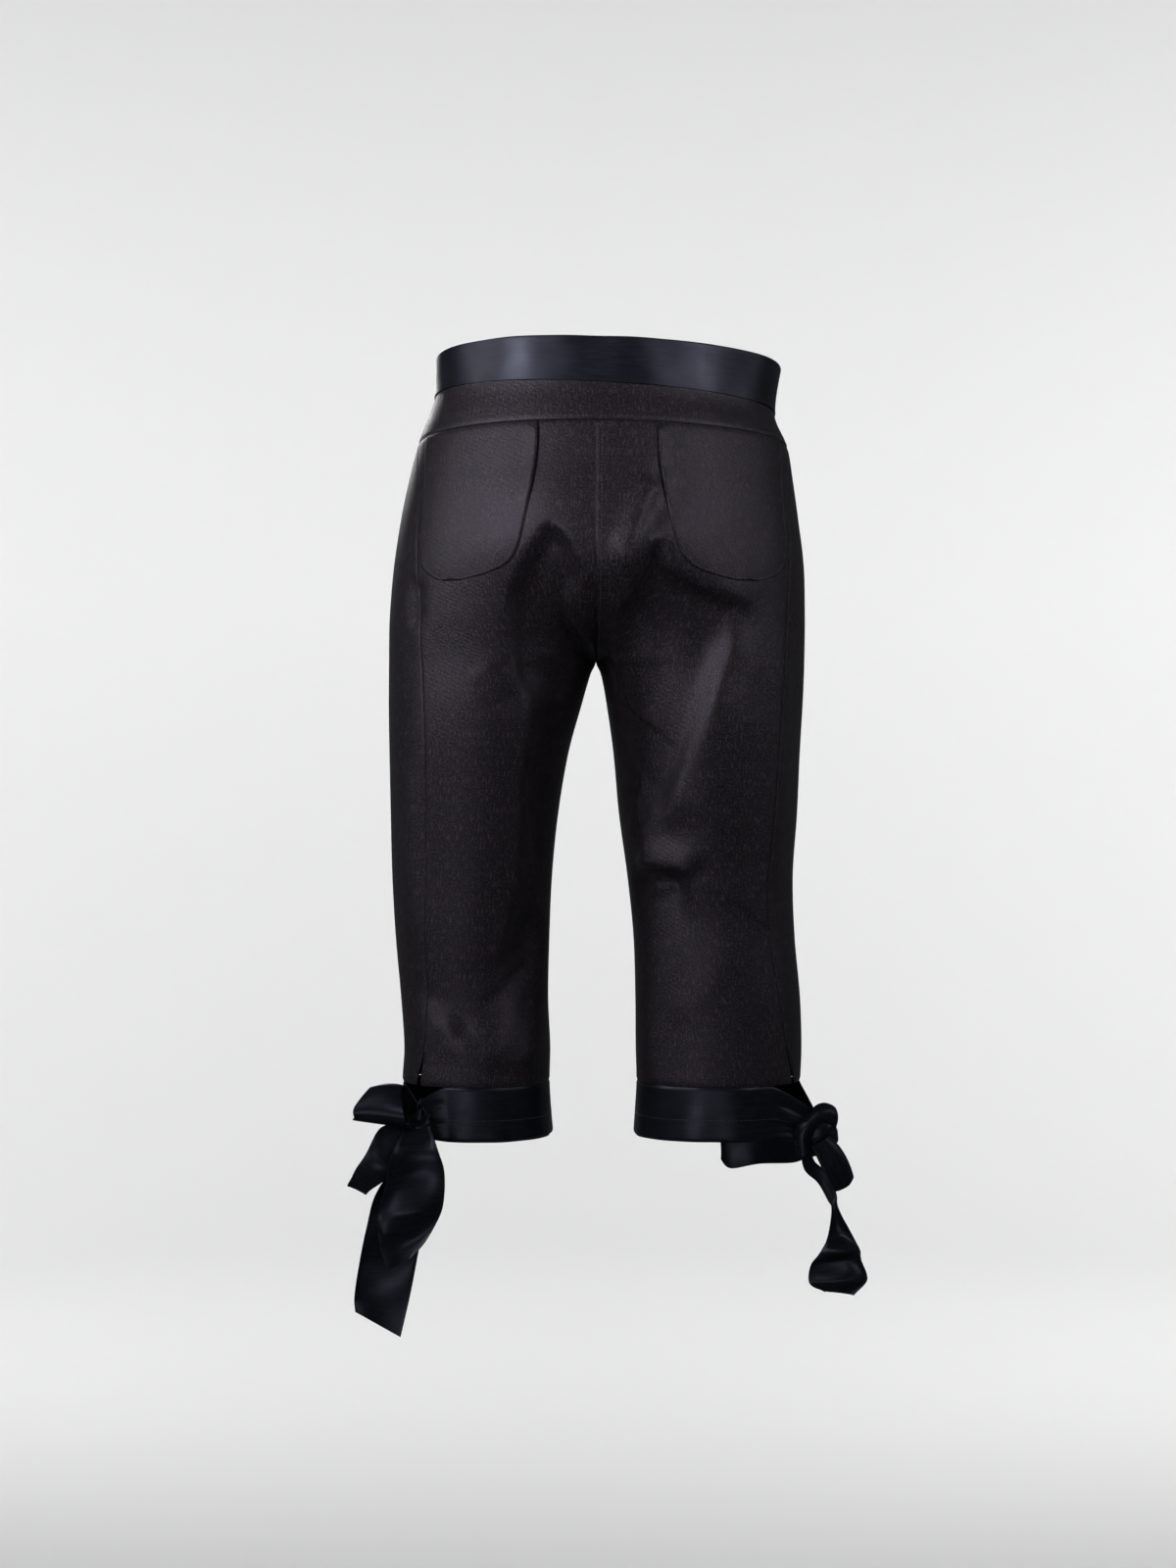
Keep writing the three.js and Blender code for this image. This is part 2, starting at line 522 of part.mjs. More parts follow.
// A closed wall laid on some sheets, through the places of a grid of x and z seen from face. It lies lift off
// the cloth, and further where its facets would bridge a ridge of the cloth too closely.
function laidOn(names, face, grid, lift, thickness) {
  const way = face === "back" ? 1 : -1;
  const placed = grid.map((row) =>
    row.map(([x, z]) => {
      const found = names.map((name) => onFacets(sheets[name], x, z)).find(Boolean);
      if (!found) throw new Error(`no cloth at ${x}, ${z}`);
      if (found.normal.y * way < 0) found.normal.negate();
      return { ...found, out: lift };
    }),
  );
  const sheetAt = (more) =>
    placed.map((row) => row.map((f) => f.point.clone().addScaledVector(f.normal, f.out + more)));
  const ridges = names.flatMap((name) => ridgePoints(sheets[name]));
  for (let pass = 0; pass < 6; pass++) {
    const under = sheetAt(0);
    for (const ridge of ridges) {
      const over = onFacets(under, ridge.x, ridge.z);
      if (!over || Math.abs(over.point.y - ridge.y) > 12) continue;
      const clear = (over.point.y - ridge.y) * way * Math.abs(over.normal.y);
      for (const [i, j] of over.corners) placed[i][j].out += 0.6 * Math.max(0, lift - 0.15 - clear);
    }
  }
  return wall(sheetAt(thickness), sheetAt(0));
}

// How much of around a distance in mm along the cloth is, at a level
function share(side, level, from, distance) {
  const step = 0.01 * (from < 1 ? 1 : -1);
  const width = bodyPoint(side, level, from).distanceTo(bodyPoint(side, level, from + step));
  return (0.01 * distance) / width;
}

// The half gap between two panels at the side seam, which opens into a slit above the hem
const sideGap = (level) => HALF_GAP + SLIT_OPEN * smooth((SLIT_TOP - level) / (SLIT_TOP - HEM_SEAM)) ** 1.5;

// Columns from the centre seam to the side seam on one side, stopping short of the side seam
function panelColumns(side, face, count) {
  const back = face === "back";
  return spread(0, 1, count).map((t, i) => {
    const nominal = back ? t : 2 - t;
    if (i < count - 1) return { side, around: nominal };
    const around = (level) => nominal + (back ? -1 : 1) * share(side, level, nominal, sideGap(level));
    return { side, around };
  });
}

const LEG_LEVELS = [
  ...spread(YOKE_SEAM - HALF_GAP, SEAT, 7),
  ...spread(SEAT - 12, CROTCH + 8, 8),
  ...spread(CROTCH, THIGH, 6),
  ...spread(THIGH - 19, HEM_SEAM + HALF_GAP, 15),
];
const PANEL_COLUMNS = 12;

const sateen = () => new THREE.MeshStandardMaterial({ color: 0x1c1a1d, roughness: 0.5, metalness: 0 });
const satin = () => new THREE.MeshStandardMaterial({ color: 0x10111a, roughness: 0.3, metalness: 0 });

const garment = new THREE.Group();
function add(name, geometry, material) {
  const mesh = new THREE.Mesh(geometry, material);
  mesh.name = name;
  garment.add(mesh);
  return mesh;
}

// Two backs and two fronts, each cut in one from the yoke to the hem
function addLegPanels() {
  for (const [side, word] of [[LEFT, "left"], [RIGHT, "right"]]) {
    for (const face of ["back", "front"]) {
      const columns = panelColumns(side, face, PANEL_COLUMNS);
      add(`${face}_${word}`, clothWall(`${face}_${word}`, LEG_LEVELS, columns, CLOTH), sateen());
    }
  }
}

// The yoke goes all round: one piece at the back, and one on each side of the centre front
function addYokes() {
  const levels = spread(BAND_SEAM - HALF_GAP, YOKE_SEAM + HALF_GAP, 4);
  const left = panelColumns(LEFT, "back", PANEL_COLUMNS);
  const right = panelColumns(RIGHT, "back", PANEL_COLUMNS);
  const across = [...left.reverse(), ...right.slice(1)];
  add("back_yoke", clothWall("back_yoke", levels, across, CLOTH), sateen());
  for (const [side, word] of [[LEFT, "left"], [RIGHT, "right"]]) {
    const columns = panelColumns(side, "front", PANEL_COLUMNS);
    add(`front_yoke_${word}`, clothWall(`front_yoke_${word}`, levels, columns, CLOTH), sateen());
  }
}

// The waistband goes round from the centre front and laps over its own start, right over left
function addWaistband() {
  const stand = 0.8;
  const lap = 30;
  const lapShare = share(LEFT, 0, 1.9, lap);
  const step = BAND_WALL + 0.4;
  const levels = [BAND_SEAM + HALF_GAP, -6, 5, BAND_TOP];
  const columns = [
    ...spread(2, 0, 25).slice(0, -1).map((around) => ({ side: LEFT, around, up: 0 })),
    ...spread(0, 2, 25).map((around) => ({ side: RIGHT, around, up: smooth((around - 1.8) / 0.18) })),
    ...spread(2, 2 - lapShare, 4).slice(1).map((around) => ({ side: LEFT, around, up: 1 })),
  ];
  const lift = (i, j) => stand + step * columns[j].up;
  add("waistband", clothWall("waistband", levels, columns, BAND_WALL, lift), satin());
}

// A patch pocket on each back, its top caught in the yoke seam and its outer edge along the side seam
function addPockets() {
  const end = YOKE_SEAM - POCKET_DROP;
  const shared = LEG_LEVELS.filter((level) => level < YOKE_SEAM - 5 && level > end + 4);
  const levels = [YOKE_SEAM - 0.8, ...shared.slice(0, -1), end + 11, shared.at(-1), end + 2, end];
  for (const [side, word] of [[LEFT, "left"], [RIGHT, "right"]]) {
    const grid = levels.map((level) => {
      const down = (YOKE_SEAM - level) / POCKET_DROP;
      const seamX = side * clothPoint(side, level, 1).x;
      const inner = read(POCKET_OUTLINE, "inner", down, "down") + (side === RIGHT ? 3 : 0);
      const outer = lerp(inner, seamX, read(POCKET_OUTLINE, "outer", down, "down"));
      return spread(inner, outer, 11).map((across) => [side * across, level + bodyRise(side, level, across)]);
    });
    add(`back_pocket_${word}`, laidOn([`back_${word}`], "back", grid, POCKET_LIFT, CLOTH), sateen());
  }
}

// How much higher than its level the cloth of the back lies at a distance from the centre plane
function bodyRise(side, level, across) {
  const half = read(TORSO, side === LEFT ? "left" : "right", level);
  const rise = read(TORSO, "rise", level) * Math.sqrt(Math.max(0, 1 - (across / half) ** 2));
  return rise + read(TORSO, "lean", level) * side * across;
}

// A knot: a small gathered lump, wider than deep
function knotGeometry(knot, grow) {
  const sphere = new THREE.SphereGeometry(1, 18, 12);
  const position = sphere.getAttribute("position");
  const points = new Map();
  const order = [];
  for (let i = 0; i < position.count; i++) {
    const v = new THREE.Vector3().fromBufferAttribute(position, i);
    const key = [v.x, v.y, v.z].map((c) => Math.round(c * 1e4) + 0).join();
    if (!points.has(key)) points.set(key, points.size);
    order.push(points.get(key));
  }
  const placed = [...points.keys()].map((key) => {
    const [x, y, z] = key.split(",").map((c) => c / 1e4);
    const pleat = 1 + 0.06 * Math.cos(7 * Math.atan2(x, z)) * (1 - y * y);
    return new THREE.Vector3(
      knot.x + x * pleat * (knot.rx + grow),
      knot.y + y * (knot.ry + grow),
      knot.z + z * pleat * (knot.rz + grow),
    );
  });
  const faces = [];
  const index = sphere.getIndex();
  for (let i = 0; i < index.count; i += 3) {
    const [a, b, c] = [0, 1, 2].map((k) => order[index.getX(i + k)]);
    if (a !== b && b !== c && a !== c) faces.push(a, b, c);
  }
  return facingOut(placed, faces);
}

function solidOf(geometry) {
  const vertProperties = new Float32Array(geometry.getAttribute("position").array);
  return new wasm.Manifold(new wasm.Mesh({ numProp: 3, vertProperties, triVerts: new Uint32Array(geometry.index.array) }));
}

// A geometry with the room of some others cut away
function cutBy(geometry, ...cutters) {
  return largestOf(cutters.reduce((solid, cutter) => solid.subtract(solidOf(cutter)), solidOf(geometry)));
}

// Two geometries made one
function joined(one, other) {
  return largestOf(solidOf(one).add(solidOf(other)));
}

// The largest body of a solid, as a geometry
function largestOf(solid) {
  const largest = solid.decompose().reduce((a, b) => (a.volume() > b.volume() ? a : b));
  const mesh = largest.getMesh();
  const made = new THREE.BufferGeometry();
  made.setAttribute("position", new THREE.BufferAttribute(mesh.vertProperties, 3));
  made.setIndex(new THREE.BufferAttribute(mesh.triVerts, 1));
  return made;
}

// A wall on a grid of points, whose outer face stands off them by lift along the grid's own normals
function gridWall(grid, lift, thickness) {
  const [rows, columns] = [grid.length, grid[0].length];
  const sheets = [lift, lift - thickness].map((out) =>
    grid.map((row, i) =>
      row.map((p, j) => {
        const down = grid[Math.min(rows - 1, i + 1)][j].clone().sub(grid[Math.max(0, i - 1)][j]);
        const over = row[Math.min(columns - 1, j + 1)].clone().sub(row[Math.max(0, j - 1)]);
        return p.clone().addScaledVector(down.cross(over).normalize(), out);
      }),
    ),
  );
  return wall(...sheets);
}

// A strip of ribbon through its stations, smooth between them
function ribbon(stations, rows, columns = 5, thickness = RIBBON) {
  const keyed = stations.map((s, at) => ({ ...s, at }));
  const edge = (letter, t) => new THREE.Vector3(...["x", "y", "z"].map((c) => read(keyed, letter + c, t, "at")));
  const grid = spread(0, stations.length - 1, rows).map((t) => {
    const [a, b] = [edge("a", t), edge("b", t)];
    const [before, after] = [t - 0.05, t + 0.05].map((u) => edge("a", u).add(edge("b", u)));
    const out = b.clone().sub(a).cross(after.sub(before)).normalize();
    const bow = read(keyed, "bow", t, "at");
    return spread(0, 1, columns).map((c) => a.clone().lerp(b, c).addScaledVector(out, bow * 4 * c * (1 - c)));
  });
  return gridWall(grid, thickness / 2, thickness);
}

// The satin band round a leg's hem. Its two ends leave the leg at the side seam, narrow, and run into the knot.
function hemBand(side, knot) {
  const shares = [0, 0.12, 0.25, 0.38, 0.5, 0.6, 0.69, 0.77, 0.84, 0.9, 0.95, 1];
  const arounds = [...shares.slice().reverse(), ...shares.slice(1).map((t) => 2 - t)];
  const middle = arounds.map((around) => bodyPoint(side, (HEM_SEAM + HEM_EDGE) / 2, around));
  const toEnd = (j) => {
    const way = j < shares.length ? -1 : 1;
    let length = 0;
    for (let k = j; k > 0 && k < arounds.length - 1; k += way) length += middle[k].distanceTo(middle[k + way]);
    return length;
  };
  const grid = spread(0, 1, 9).map((v) =>
    arounds.map((around, j) => {
      const face = around <= 1 ? 1 : -1;
      const p = bodyPoint(side, lerp(HEM_SEAM - HALF_GAP, HEM_EDGE, v), around);
      const pull = smooth(1 - toEnd(j) / BAND_DRAW);
      const target = new THREE.Vector3(knot.x, knot.y + 3 * face, knot.z + (0.5 - v) * BAND_END);
      const outward = new THREE.Vector3(p.x - middle[0].x * 0.6, p.y, 0).normalize();
      const pleat = 1.8 * Math.sin(v * 5 * Math.PI) * 4 * pull * (1 - pull);
      return p.lerp(target, pull).addScaledVector(outward, pleat);
    }),
  );
  return gridWall(side === LEFT ? grid : grid.map((row) => row.slice().reverse()), 0, HEM_WALL);
}

// The hem bands, and the bow that each is tied in
function addHems() {
  for (const [side, word] of [[LEFT, "left"], [RIGHT, "right"]]) {
    const knot = KNOTS[word];
    const room = [knotGeometry(knot, SEAM_GAP)];
    let lump = knotGeometry(knot, 0);
    if (side === RIGHT) {
      room.push(ribbon(widened(WRAP, SEAM_GAP), 18, 4, WRAP_WALL + 2 * SEAM_GAP));
      lump = joined(lump, ribbon(WRAP, 18, 4, WRAP_WALL));
    }
    add(`hem_band_${word}`, cutBy(hemBand(side, knot), ...room), satin());
    add(`bow_${word}_knot`, lump, satin());
    for (const [name, stations] of Object.entries(RIBBONS)) {
      if (!name.startsWith(`bow_${word}`)) continue;
      add(name, cutBy(ribbon(stations, stations.length * 3), ...room), satin());
    }
  }
}

// Stations with their edges set further apart
function widened(stations, by) {
  return stations.map((s) => {
    const across = new THREE.Vector3(s.ax - s.bx, s.ay - s.by, s.az - s.bz).setLength(by);
    const a = new THREE.Vector3(s.ax, s.ay, s.az).add(across);
    const b = new THREE.Vector3(s.bx, s.by, s.bz).sub(across);
    return { ax: a.x, ay: a.y, az: a.z, bx: b.x, by: b.y, bz: b.z, bow: s.bow };
  });
}

// The fly's outer layer on the right front, which laps a little over the left
const FLY_WIDTH = 36;
const FLY_LAP = 4;
const FLY_END = -168;
function addFly() {
  const grid = spread(BAND_SEAM - 1.2, FLY_END, 14).map((level) => {
    const end = smooth((level - FLY_END) / 42) ** 0.6;
    const z = level - read(TORSO, "rise", level);
    return spread(FLY_LAP, -FLY_WIDTH * (0.2 + 0.8 * end), 7).map((x) => [x, z + read(TORSO, "lean", level) * x]);
  });
  const under = ["front_right", "front_yoke_right", "front_left", "front_yoke_left"];
  add("fly", laidOn(under, "front", grid, POCKET_LIFT, CLOTH - 0.2), sateen());
}

addLegPanels();
addYokes();
addWaistband();
addPockets();
addFly();
addHems();

export default garment;
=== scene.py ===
"""Dresses the capri pants: black sateen, satin trim and tied satin bows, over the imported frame.

Sizes are in millimetres until a mesh is made, and in metres after that. +Z is up, the garment's front faces -Y
and the wearer's left is +X. The origin is the middle of the waist, halfway up the waistband.
"""

import logging
import math
from contextlib import contextmanager
from dataclasses import dataclass, field
from enum import Enum
from typing import Iterator, Sequence

import bmesh
import bpy
import numpy as np
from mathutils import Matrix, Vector


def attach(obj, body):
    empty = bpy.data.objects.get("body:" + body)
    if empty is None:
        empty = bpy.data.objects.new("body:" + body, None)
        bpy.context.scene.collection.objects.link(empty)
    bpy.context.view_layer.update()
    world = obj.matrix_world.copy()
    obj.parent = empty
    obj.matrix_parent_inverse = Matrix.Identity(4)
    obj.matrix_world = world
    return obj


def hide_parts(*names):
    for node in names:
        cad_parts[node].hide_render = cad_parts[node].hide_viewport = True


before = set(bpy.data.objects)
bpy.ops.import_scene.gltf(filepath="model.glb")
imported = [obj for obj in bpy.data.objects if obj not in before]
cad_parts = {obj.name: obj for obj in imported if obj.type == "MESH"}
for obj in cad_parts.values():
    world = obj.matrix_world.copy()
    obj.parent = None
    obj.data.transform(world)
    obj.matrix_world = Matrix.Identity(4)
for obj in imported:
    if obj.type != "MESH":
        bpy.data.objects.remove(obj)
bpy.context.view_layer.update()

log = logging.getLogger("capri_pants")

Array = np.ndarray
Socket = bpy.types.NodeSocket

MM = 0.001
HALF_GAP = 0.15  # half the gap between neighbouring pieces
QUARTER_RUN = 200.0  # about how far the cloth runs from the centre to the side seam
WAVES_PER_UNIT = 6.3  # the wave texture's bands in one unit of its scale


class Side(Enum):
    """A side of the wearer, as the sign of its x."""

    LEFT = 1
    RIGHT = -1

    @property
    def word(self) -> str:
        """The side's name as it stands in the names of pieces."""
        return self.name.lower()


class Face(Enum):
    """The half of the garment that a piece lies on."""

    BACK = "back"
    FRONT = "front"

    @property
    def outward(self) -> Array:
        """The way out of the garment on this half."""
        return np.array([0, 1 if self is Face.BACK else -1, 0])


@dataclass(frozen=True)
class Table:
    """Rows of numbers under named columns, read on a smooth curve between rows.

    The first column orders the rows, rising or falling.
    """

    columns: tuple[str, ...]
    rows: tuple[tuple[float, ...], ...]

    def read(self, name: str, at: Array) -> Array:
        """Reads a column between its rows.

        Args:
            name: The column's name.
            at: Values of the first column to read at.

        Returns:
            The column's values there, held at the ends.
        """
        keys = np.array([row[0] for row in self.rows], float)
        values = np.array([row[self.columns.index(name)] for row in self.rows], float)
        if keys[0] > keys[-1]:
            keys, values = keys[::-1], values[::-1]
        low = np.maximum(np.arange(len(keys)) - 1, 0)
        high = np.minimum(np.arange(len(keys)) + 1, len(keys) - 1)
        slopes = (values[high] - values[low]) / (keys[high] - keys[low])
        at = np.clip(np.asarray(at, float), keys[0], keys[-1])
        i = np.clip(np.searchsorted(keys, at, side="right") - 1, 0, len(keys) - 2)
        span = keys[i + 1] - keys[i]
        t = (at - keys[i]) / span
        p, q = values[i], values[i + 1]
        m, n = slopes[i] * span, slopes[i + 1] * span
        return p + t * (m + t * (3 * (q - p) - 2 * m - n + t * (2 * (p - q) + m + n)))


def smooth(t: Array) -> Array:
    """Eases 0 to 1, level at both ends."""
    c = np.clip(t, 0, 1)
    return c * c * (3 - 2 * c)


def lerp(a: Array, b: Array, t: Array) -> Array:
    """Blends a into b by the share t."""
    return a + (b - a) * t


# ---------------------------------------------------------------------------------------------------------
# Materials
# ---------------------------------------------------------------------------------------------------------


def linear(hex_colour: str) -> tuple[float, float, float, float]:
    """Turns an sRGB hex colour to linear.

    Args:
        hex_colour: Such as "1c1a1d".

    Returns:
        Red, green, blue and alpha.
    """
    parts = [int(hex_colour[i : i + 2], 16) / 255 for i in (0, 2, 4)]
    return tuple(c / 12.92 if c <= 0.04045 else ((c + 0.055) / 1.055) ** 2.4 for c in parts) + (1.0,)


def add_node(
    tree: bpy.types.NodeTree, kind: str, settings: dict | None = None, **links: Socket
) -> bpy.types.Node:
    """Adds a shader node with its settings and links.

    Args:
        tree: The material's node tree.
        kind: The node's type with no ShaderNode before it, such as "Mix".
        settings: Attribute or socket names to values. A whole number names a socket by its place.
        links: Input names, with _ for a space, or i and a number for a place, to output sockets.

    Returns:
        The new node.
    """
    node = tree.nodes.new("ShaderNode" + kind)
    for name, value in (settings or {}).items():
        if not isinstance(name, int) and hasattr(node, name):
            setattr(node, name, value)
        else:
            node.inputs[name].default_value = value
    for name, source in links.items():
        key = int(name[1:]) if name[0] == "i" and name[1:].isdigit() else name.replace("_", " ")
        tree.links.new(source, node.inputs[key])
    return node


@dataclass
class Weave:
    """A material's node tree, with the patterns that the finishes share."""

    tree: bpy.types.NodeTree

    def noise(self, size_mm: float, at: Socket, detail: float, rough: float = 0.5) -> Socket:
        """Adds noise of a size in millimetres, on a map in metres."""
        settings = {"Scale": 1 / (size_mm * MM), "Detail": detail, "Roughness": rough}
        return add_node(self.tree, "TexNoise", settings, Vector=at).outputs["Fac"]

    def scaled(self, at: Socket, x: float, y: float) -> Socket:
        """Stretches a map."""
        return add_node(self.tree, "Mapping", {"Scale": (x, y, 1.0)}, Vector=at).outputs[0]

    def ranged(self, value: Socket, *limits: float) -> Socket:
        """Maps a value from the first two limits to the last two, or to 0 and 1."""
        return add_node(self.tree, "MapRange", dict(enumerate(limits, 1)), Value=value).outputs[0]

    def mix(self, share: Socket, settings: dict, **links: Socket) -> Socket:
        """Mixes two colours, sockets 6 and 7, by a share."""
        return add_node(self.tree, "Mix", {"data_type": "RGBA", **settings}, i0=share, **links).outputs[2]

    def shaded(self, settings: dict, **links: Socket) -> Socket:
        """Multiplies two colours, sockets 6 and 7."""
        settings = {"data_type": "RGBA", "blend_type": "MULTIPLY", 0: 1.0, **settings}
        return add_node(self.tree, "Mix", settings, **links).outputs[2]

    def bump(self, strength: float, distance: float, height: Socket) -> Socket:
        """Turns a height to a bump."""
        settings = {"Strength": strength, "Distance": distance}
        return add_node(self.tree, "Bump", settings, Height=height).outputs[0]

    def surface(self, settings: dict, **links: Socket) -> None:
        """Adds the shader and the output."""
        shader = add_node(self.tree, "BsdfPrincipled", settings, **links)
        add_node(self.tree, "OutputMaterial", Surface=shader.outputs[0])


def fresh_material(name: str, place: str) -> tuple[bpy.types.Material, Weave, Socket]:
    """Makes a material that has only its coordinates yet.

    Args:
        name: The material's name.
        place: "UV" for the piece's own map, or "Object".

    Returns:
        The material, its weave and its coordinates.
    """
    material = bpy.data.materials.new(name)
    material.use_nodes = True
    tree = material.node_tree
    tree.nodes.clear()
    return material, Weave(tree), add_node(tree, "TexCoord").outputs[place]


@dataclass(frozen=True)
class CottonSateen:
    """Black cotton sateen: a 4/1 satin weave of fine combed yarn, piece-dyed and calendered.

    The eye gets a soft sheen and faint slubs. The warm speckle where single floats catch light is painted into
    the colour as glints.
    """

    name: str = "cotton_sateen_calendered"
    ground: str = "0b0a0c"
    # the two fleck colours are painted glints: light caught by single floats
    fleck: str = "3c393e"
    warm_fleck: str = "332a2b"
    glint: str = "f0e4ff"
    roughness: float = 0.41
    speckle_mm: float = 1.5  # single floats are 0.4 mm, drawn coarser so that they show
    slub_mm: float = 22.0
    ridge_mm: float = 1.8  # satin line, 0.5 mm on the cloth, drawn coarser
    ridge_share: float = 0.1
    ridge_turn: float = 64.0

    def build(self) -> bpy.types.Material:
        """Builds the material, whose patterns follow the piece's own map in metres.

        Returns:
            The finished material.
        """
        material, weave, uv = fresh_material(self.name, "UV")
        speckle = weave.noise(self.speckle_mm, uv, 3.0, 0.75)
        stretch = weave.scaled(uv, 1.0, 0.16)
        slub = weave.noise(self.slub_mm, stretch, 4.0)
        fine = weave.noise(0.8 * self.speckle_mm, stretch, 1.0)
        # painted glints: lighter and warmer flecks in the base colour where single floats catch light; the
        # speckle also varies the roughness and the bump
        ends = {6: linear(self.ground), 7: linear(self.fleck)}
        painted_glints = weave.mix(weave.ranged(speckle, 0.5, 0.72), ends)
        warm_painted_glints = weave.mix(weave.ranged(fine, 0.56, 0.7), {7: linear(self.warm_fleck)}, i6=painted_glints)
        shade = weave.shaded({}, i6=warm_painted_glints, i7=weave.ranged(slub, 0.3, 0.7, 0.86, 1.12))
        rough = weave.ranged(speckle, 0.35, 0.65, self.roughness - 0.1, self.roughness + 0.12)
        tree = weave.tree
        turned = add_node(tree, "Mapping", {"Rotation": (0.0, 0.0, math.radians(self.ridge_turn))}, Vector=uv)
        wave = {"Scale": 1 / (self.ridge_mm * MM) / WAVES_PER_UNIT, "Distortion": 1.2, "Detail": 1.0}
        ridges = add_node(tree, "TexWave", wave, Vector=turned.outputs[0])
        add = {"operation": "MULTIPLY_ADD", 1: self.ridge_share}
        relief = add_node(tree, "Math", add, i0=ridges.outputs["Fac"], i2=speckle)
        weave.surface(
            {"IOR": 1.4, "Specular Tint": linear(self.glint)},
            Base_Color=shade,
            Roughness=rough,
            Normal=weave.bump(0.8, 0.0004, relief.outputs[0]),
        )
        return material


@dataclass(frozen=True)
class PolyesterSatin:
    """Blue-black polyester satin: filament warp floats, heat-set smooth.

    The eye gets long, soft-edged highlights, a cool cast and faint ribs along the floats.
    """

    name: str = "polyester_satin_heat_set"
    ground: str = "0b0c10"
    float_tint: str = "14161d"
    glint: str = "dcdeff"
    roughness: float = 0.32
    anisotropic: float = 0.35
    rib_mm: float = 2.4  # weft ribs, 0.3 mm on the cloth, drawn coarser
    cloud_mm: float = 30.0

    def build(self) -> bpy.types.Material:
        """Builds the material, whose ribs follow the piece's own map in metres.

        Returns:
            The finished material.
        """
        material, weave, uv = fresh_material(self.name, "UV")
        cloud = weave.noise(self.cloud_mm, uv, 3.0)
        ribs = weave.noise(self.rib_mm, weave.scaled(uv, 0.12, 1.0), 2.0, 0.6)
        ends = {6: linear(self.ground), 7: linear(self.float_tint)}
        weave.surface(
            {"IOR": 1.33, "Anisotropic": self.anisotropic, "Specular Tint": linear(self.glint)},
            Base_Color=weave.mix(weave.ranged(ribs, 0.35, 0.65), ends),
            Roughness=weave.ranged(cloud, 0.3, 0.7, self.roughness - 0.05, self.roughness + 0.07),
            Normal=weave.bump(0.2, 0.0001, ribs),
        )
        return material


@dataclass(frozen=True)
class SewingThread:
    """Black core-spun polyester sewing thread, ticket 120, waxed: a touch glossier than the cloth."""

    name: str = "core_spun_sewing_thread"
    colour: str = "1c1b1f"
    roughness: float = 0.42
    twist_mm: float = 0.7

    def build(self) -> bpy.types.Material:
        """Builds the thread's material, with its twist as a bump.

        Returns:
            The finished material.
        """
        material, weave, place = fresh_material(self.name, "Object")
        wave = {"Scale": 1 / (self.twist_mm * MM) / WAVES_PER_UNIT, "bands_direction": "DIAGONAL"}
        twist = add_node(weave.tree, "TexWave", wave, Vector=place).outputs["Fac"]
        weave.surface(
            {"IOR": 1.54, "Roughness": self.roughness, "Sheen Weight": 0.2},
            Base_Color=weave.shaded({6: linear(self.colour)}, i7=weave.ranged(twist, 0.0, 1.0, 0.8, 1.2)),
            Normal=weave.bump(0.3, 0.0001, twist),
        )
        return material


@dataclass(frozen=True)
class StudioPaper:
    """Matt seamless background paper, pale grey."""

    name: str = "seamless_paper"
    colour: str = "ececec"
    tooth_mm: float = 1 / 0.9

    def build(self) -> bpy.types.Material:
        """Builds the paper's material, with the faint tooth of its surface.

        Returns:
            The finished material.
        """
        material, weave, place = fresh_material(self.name, "Object")
        weave.surface(
            {"Base Color": linear(self.colour), "Roughness": 0.95, "Specular IOR Level": 0.1},
            Normal=weave.bump(0.05, 0.0002, weave.noise(self.tooth_mm, place, 2.0)),
        )
        return material


@dataclass
class Finishes:
    """The garment's finishes, each built once."""

    sateen: bpy.types.Material = field(default_factory=lambda: CottonSateen().build())
    satin: bpy.types.Material = field(default_factory=lambda: PolyesterSatin().build())
    thread: bpy.types.Material = field(default_factory=lambda: SewingThread().build())


# ---------------------------------------------------------------------------------------------------------
# Mesh helpers
# ---------------------------------------------------------------------------------------------------------


def grid_normals(points: Array) -> Array:
    """Finds the unit normals of a grid of points.

    Args:
        points: Rows by columns by 3.

    Returns:
        The normals, in the same shape.
    """
    down = np.gradient(points, axis=0)
    over = np.gradient(points, axis=1)
    normals = np.cross(down, over)
    length = np.linalg.norm(normals, axis=-1, keepdims=True)
    return normals / np.maximum(length, 1e-9)


def run_lengths(points: Array, axis: int) -> Array:
    """Finds how far each point lies along its row or column.

    Args:
        points: A grid of points.
        axis: 1 along the rows, 0 along the columns.

    Returns:
        Lengths from each line's first point.
    """
    steps = np.linalg.norm(np.diff(points, axis=axis), axis=-1)
    pad = [(0, 0), (0, 0)]
    pad[axis] = (1, 0)
    return np.cumsum(np.pad(steps, pad), axis=axis)


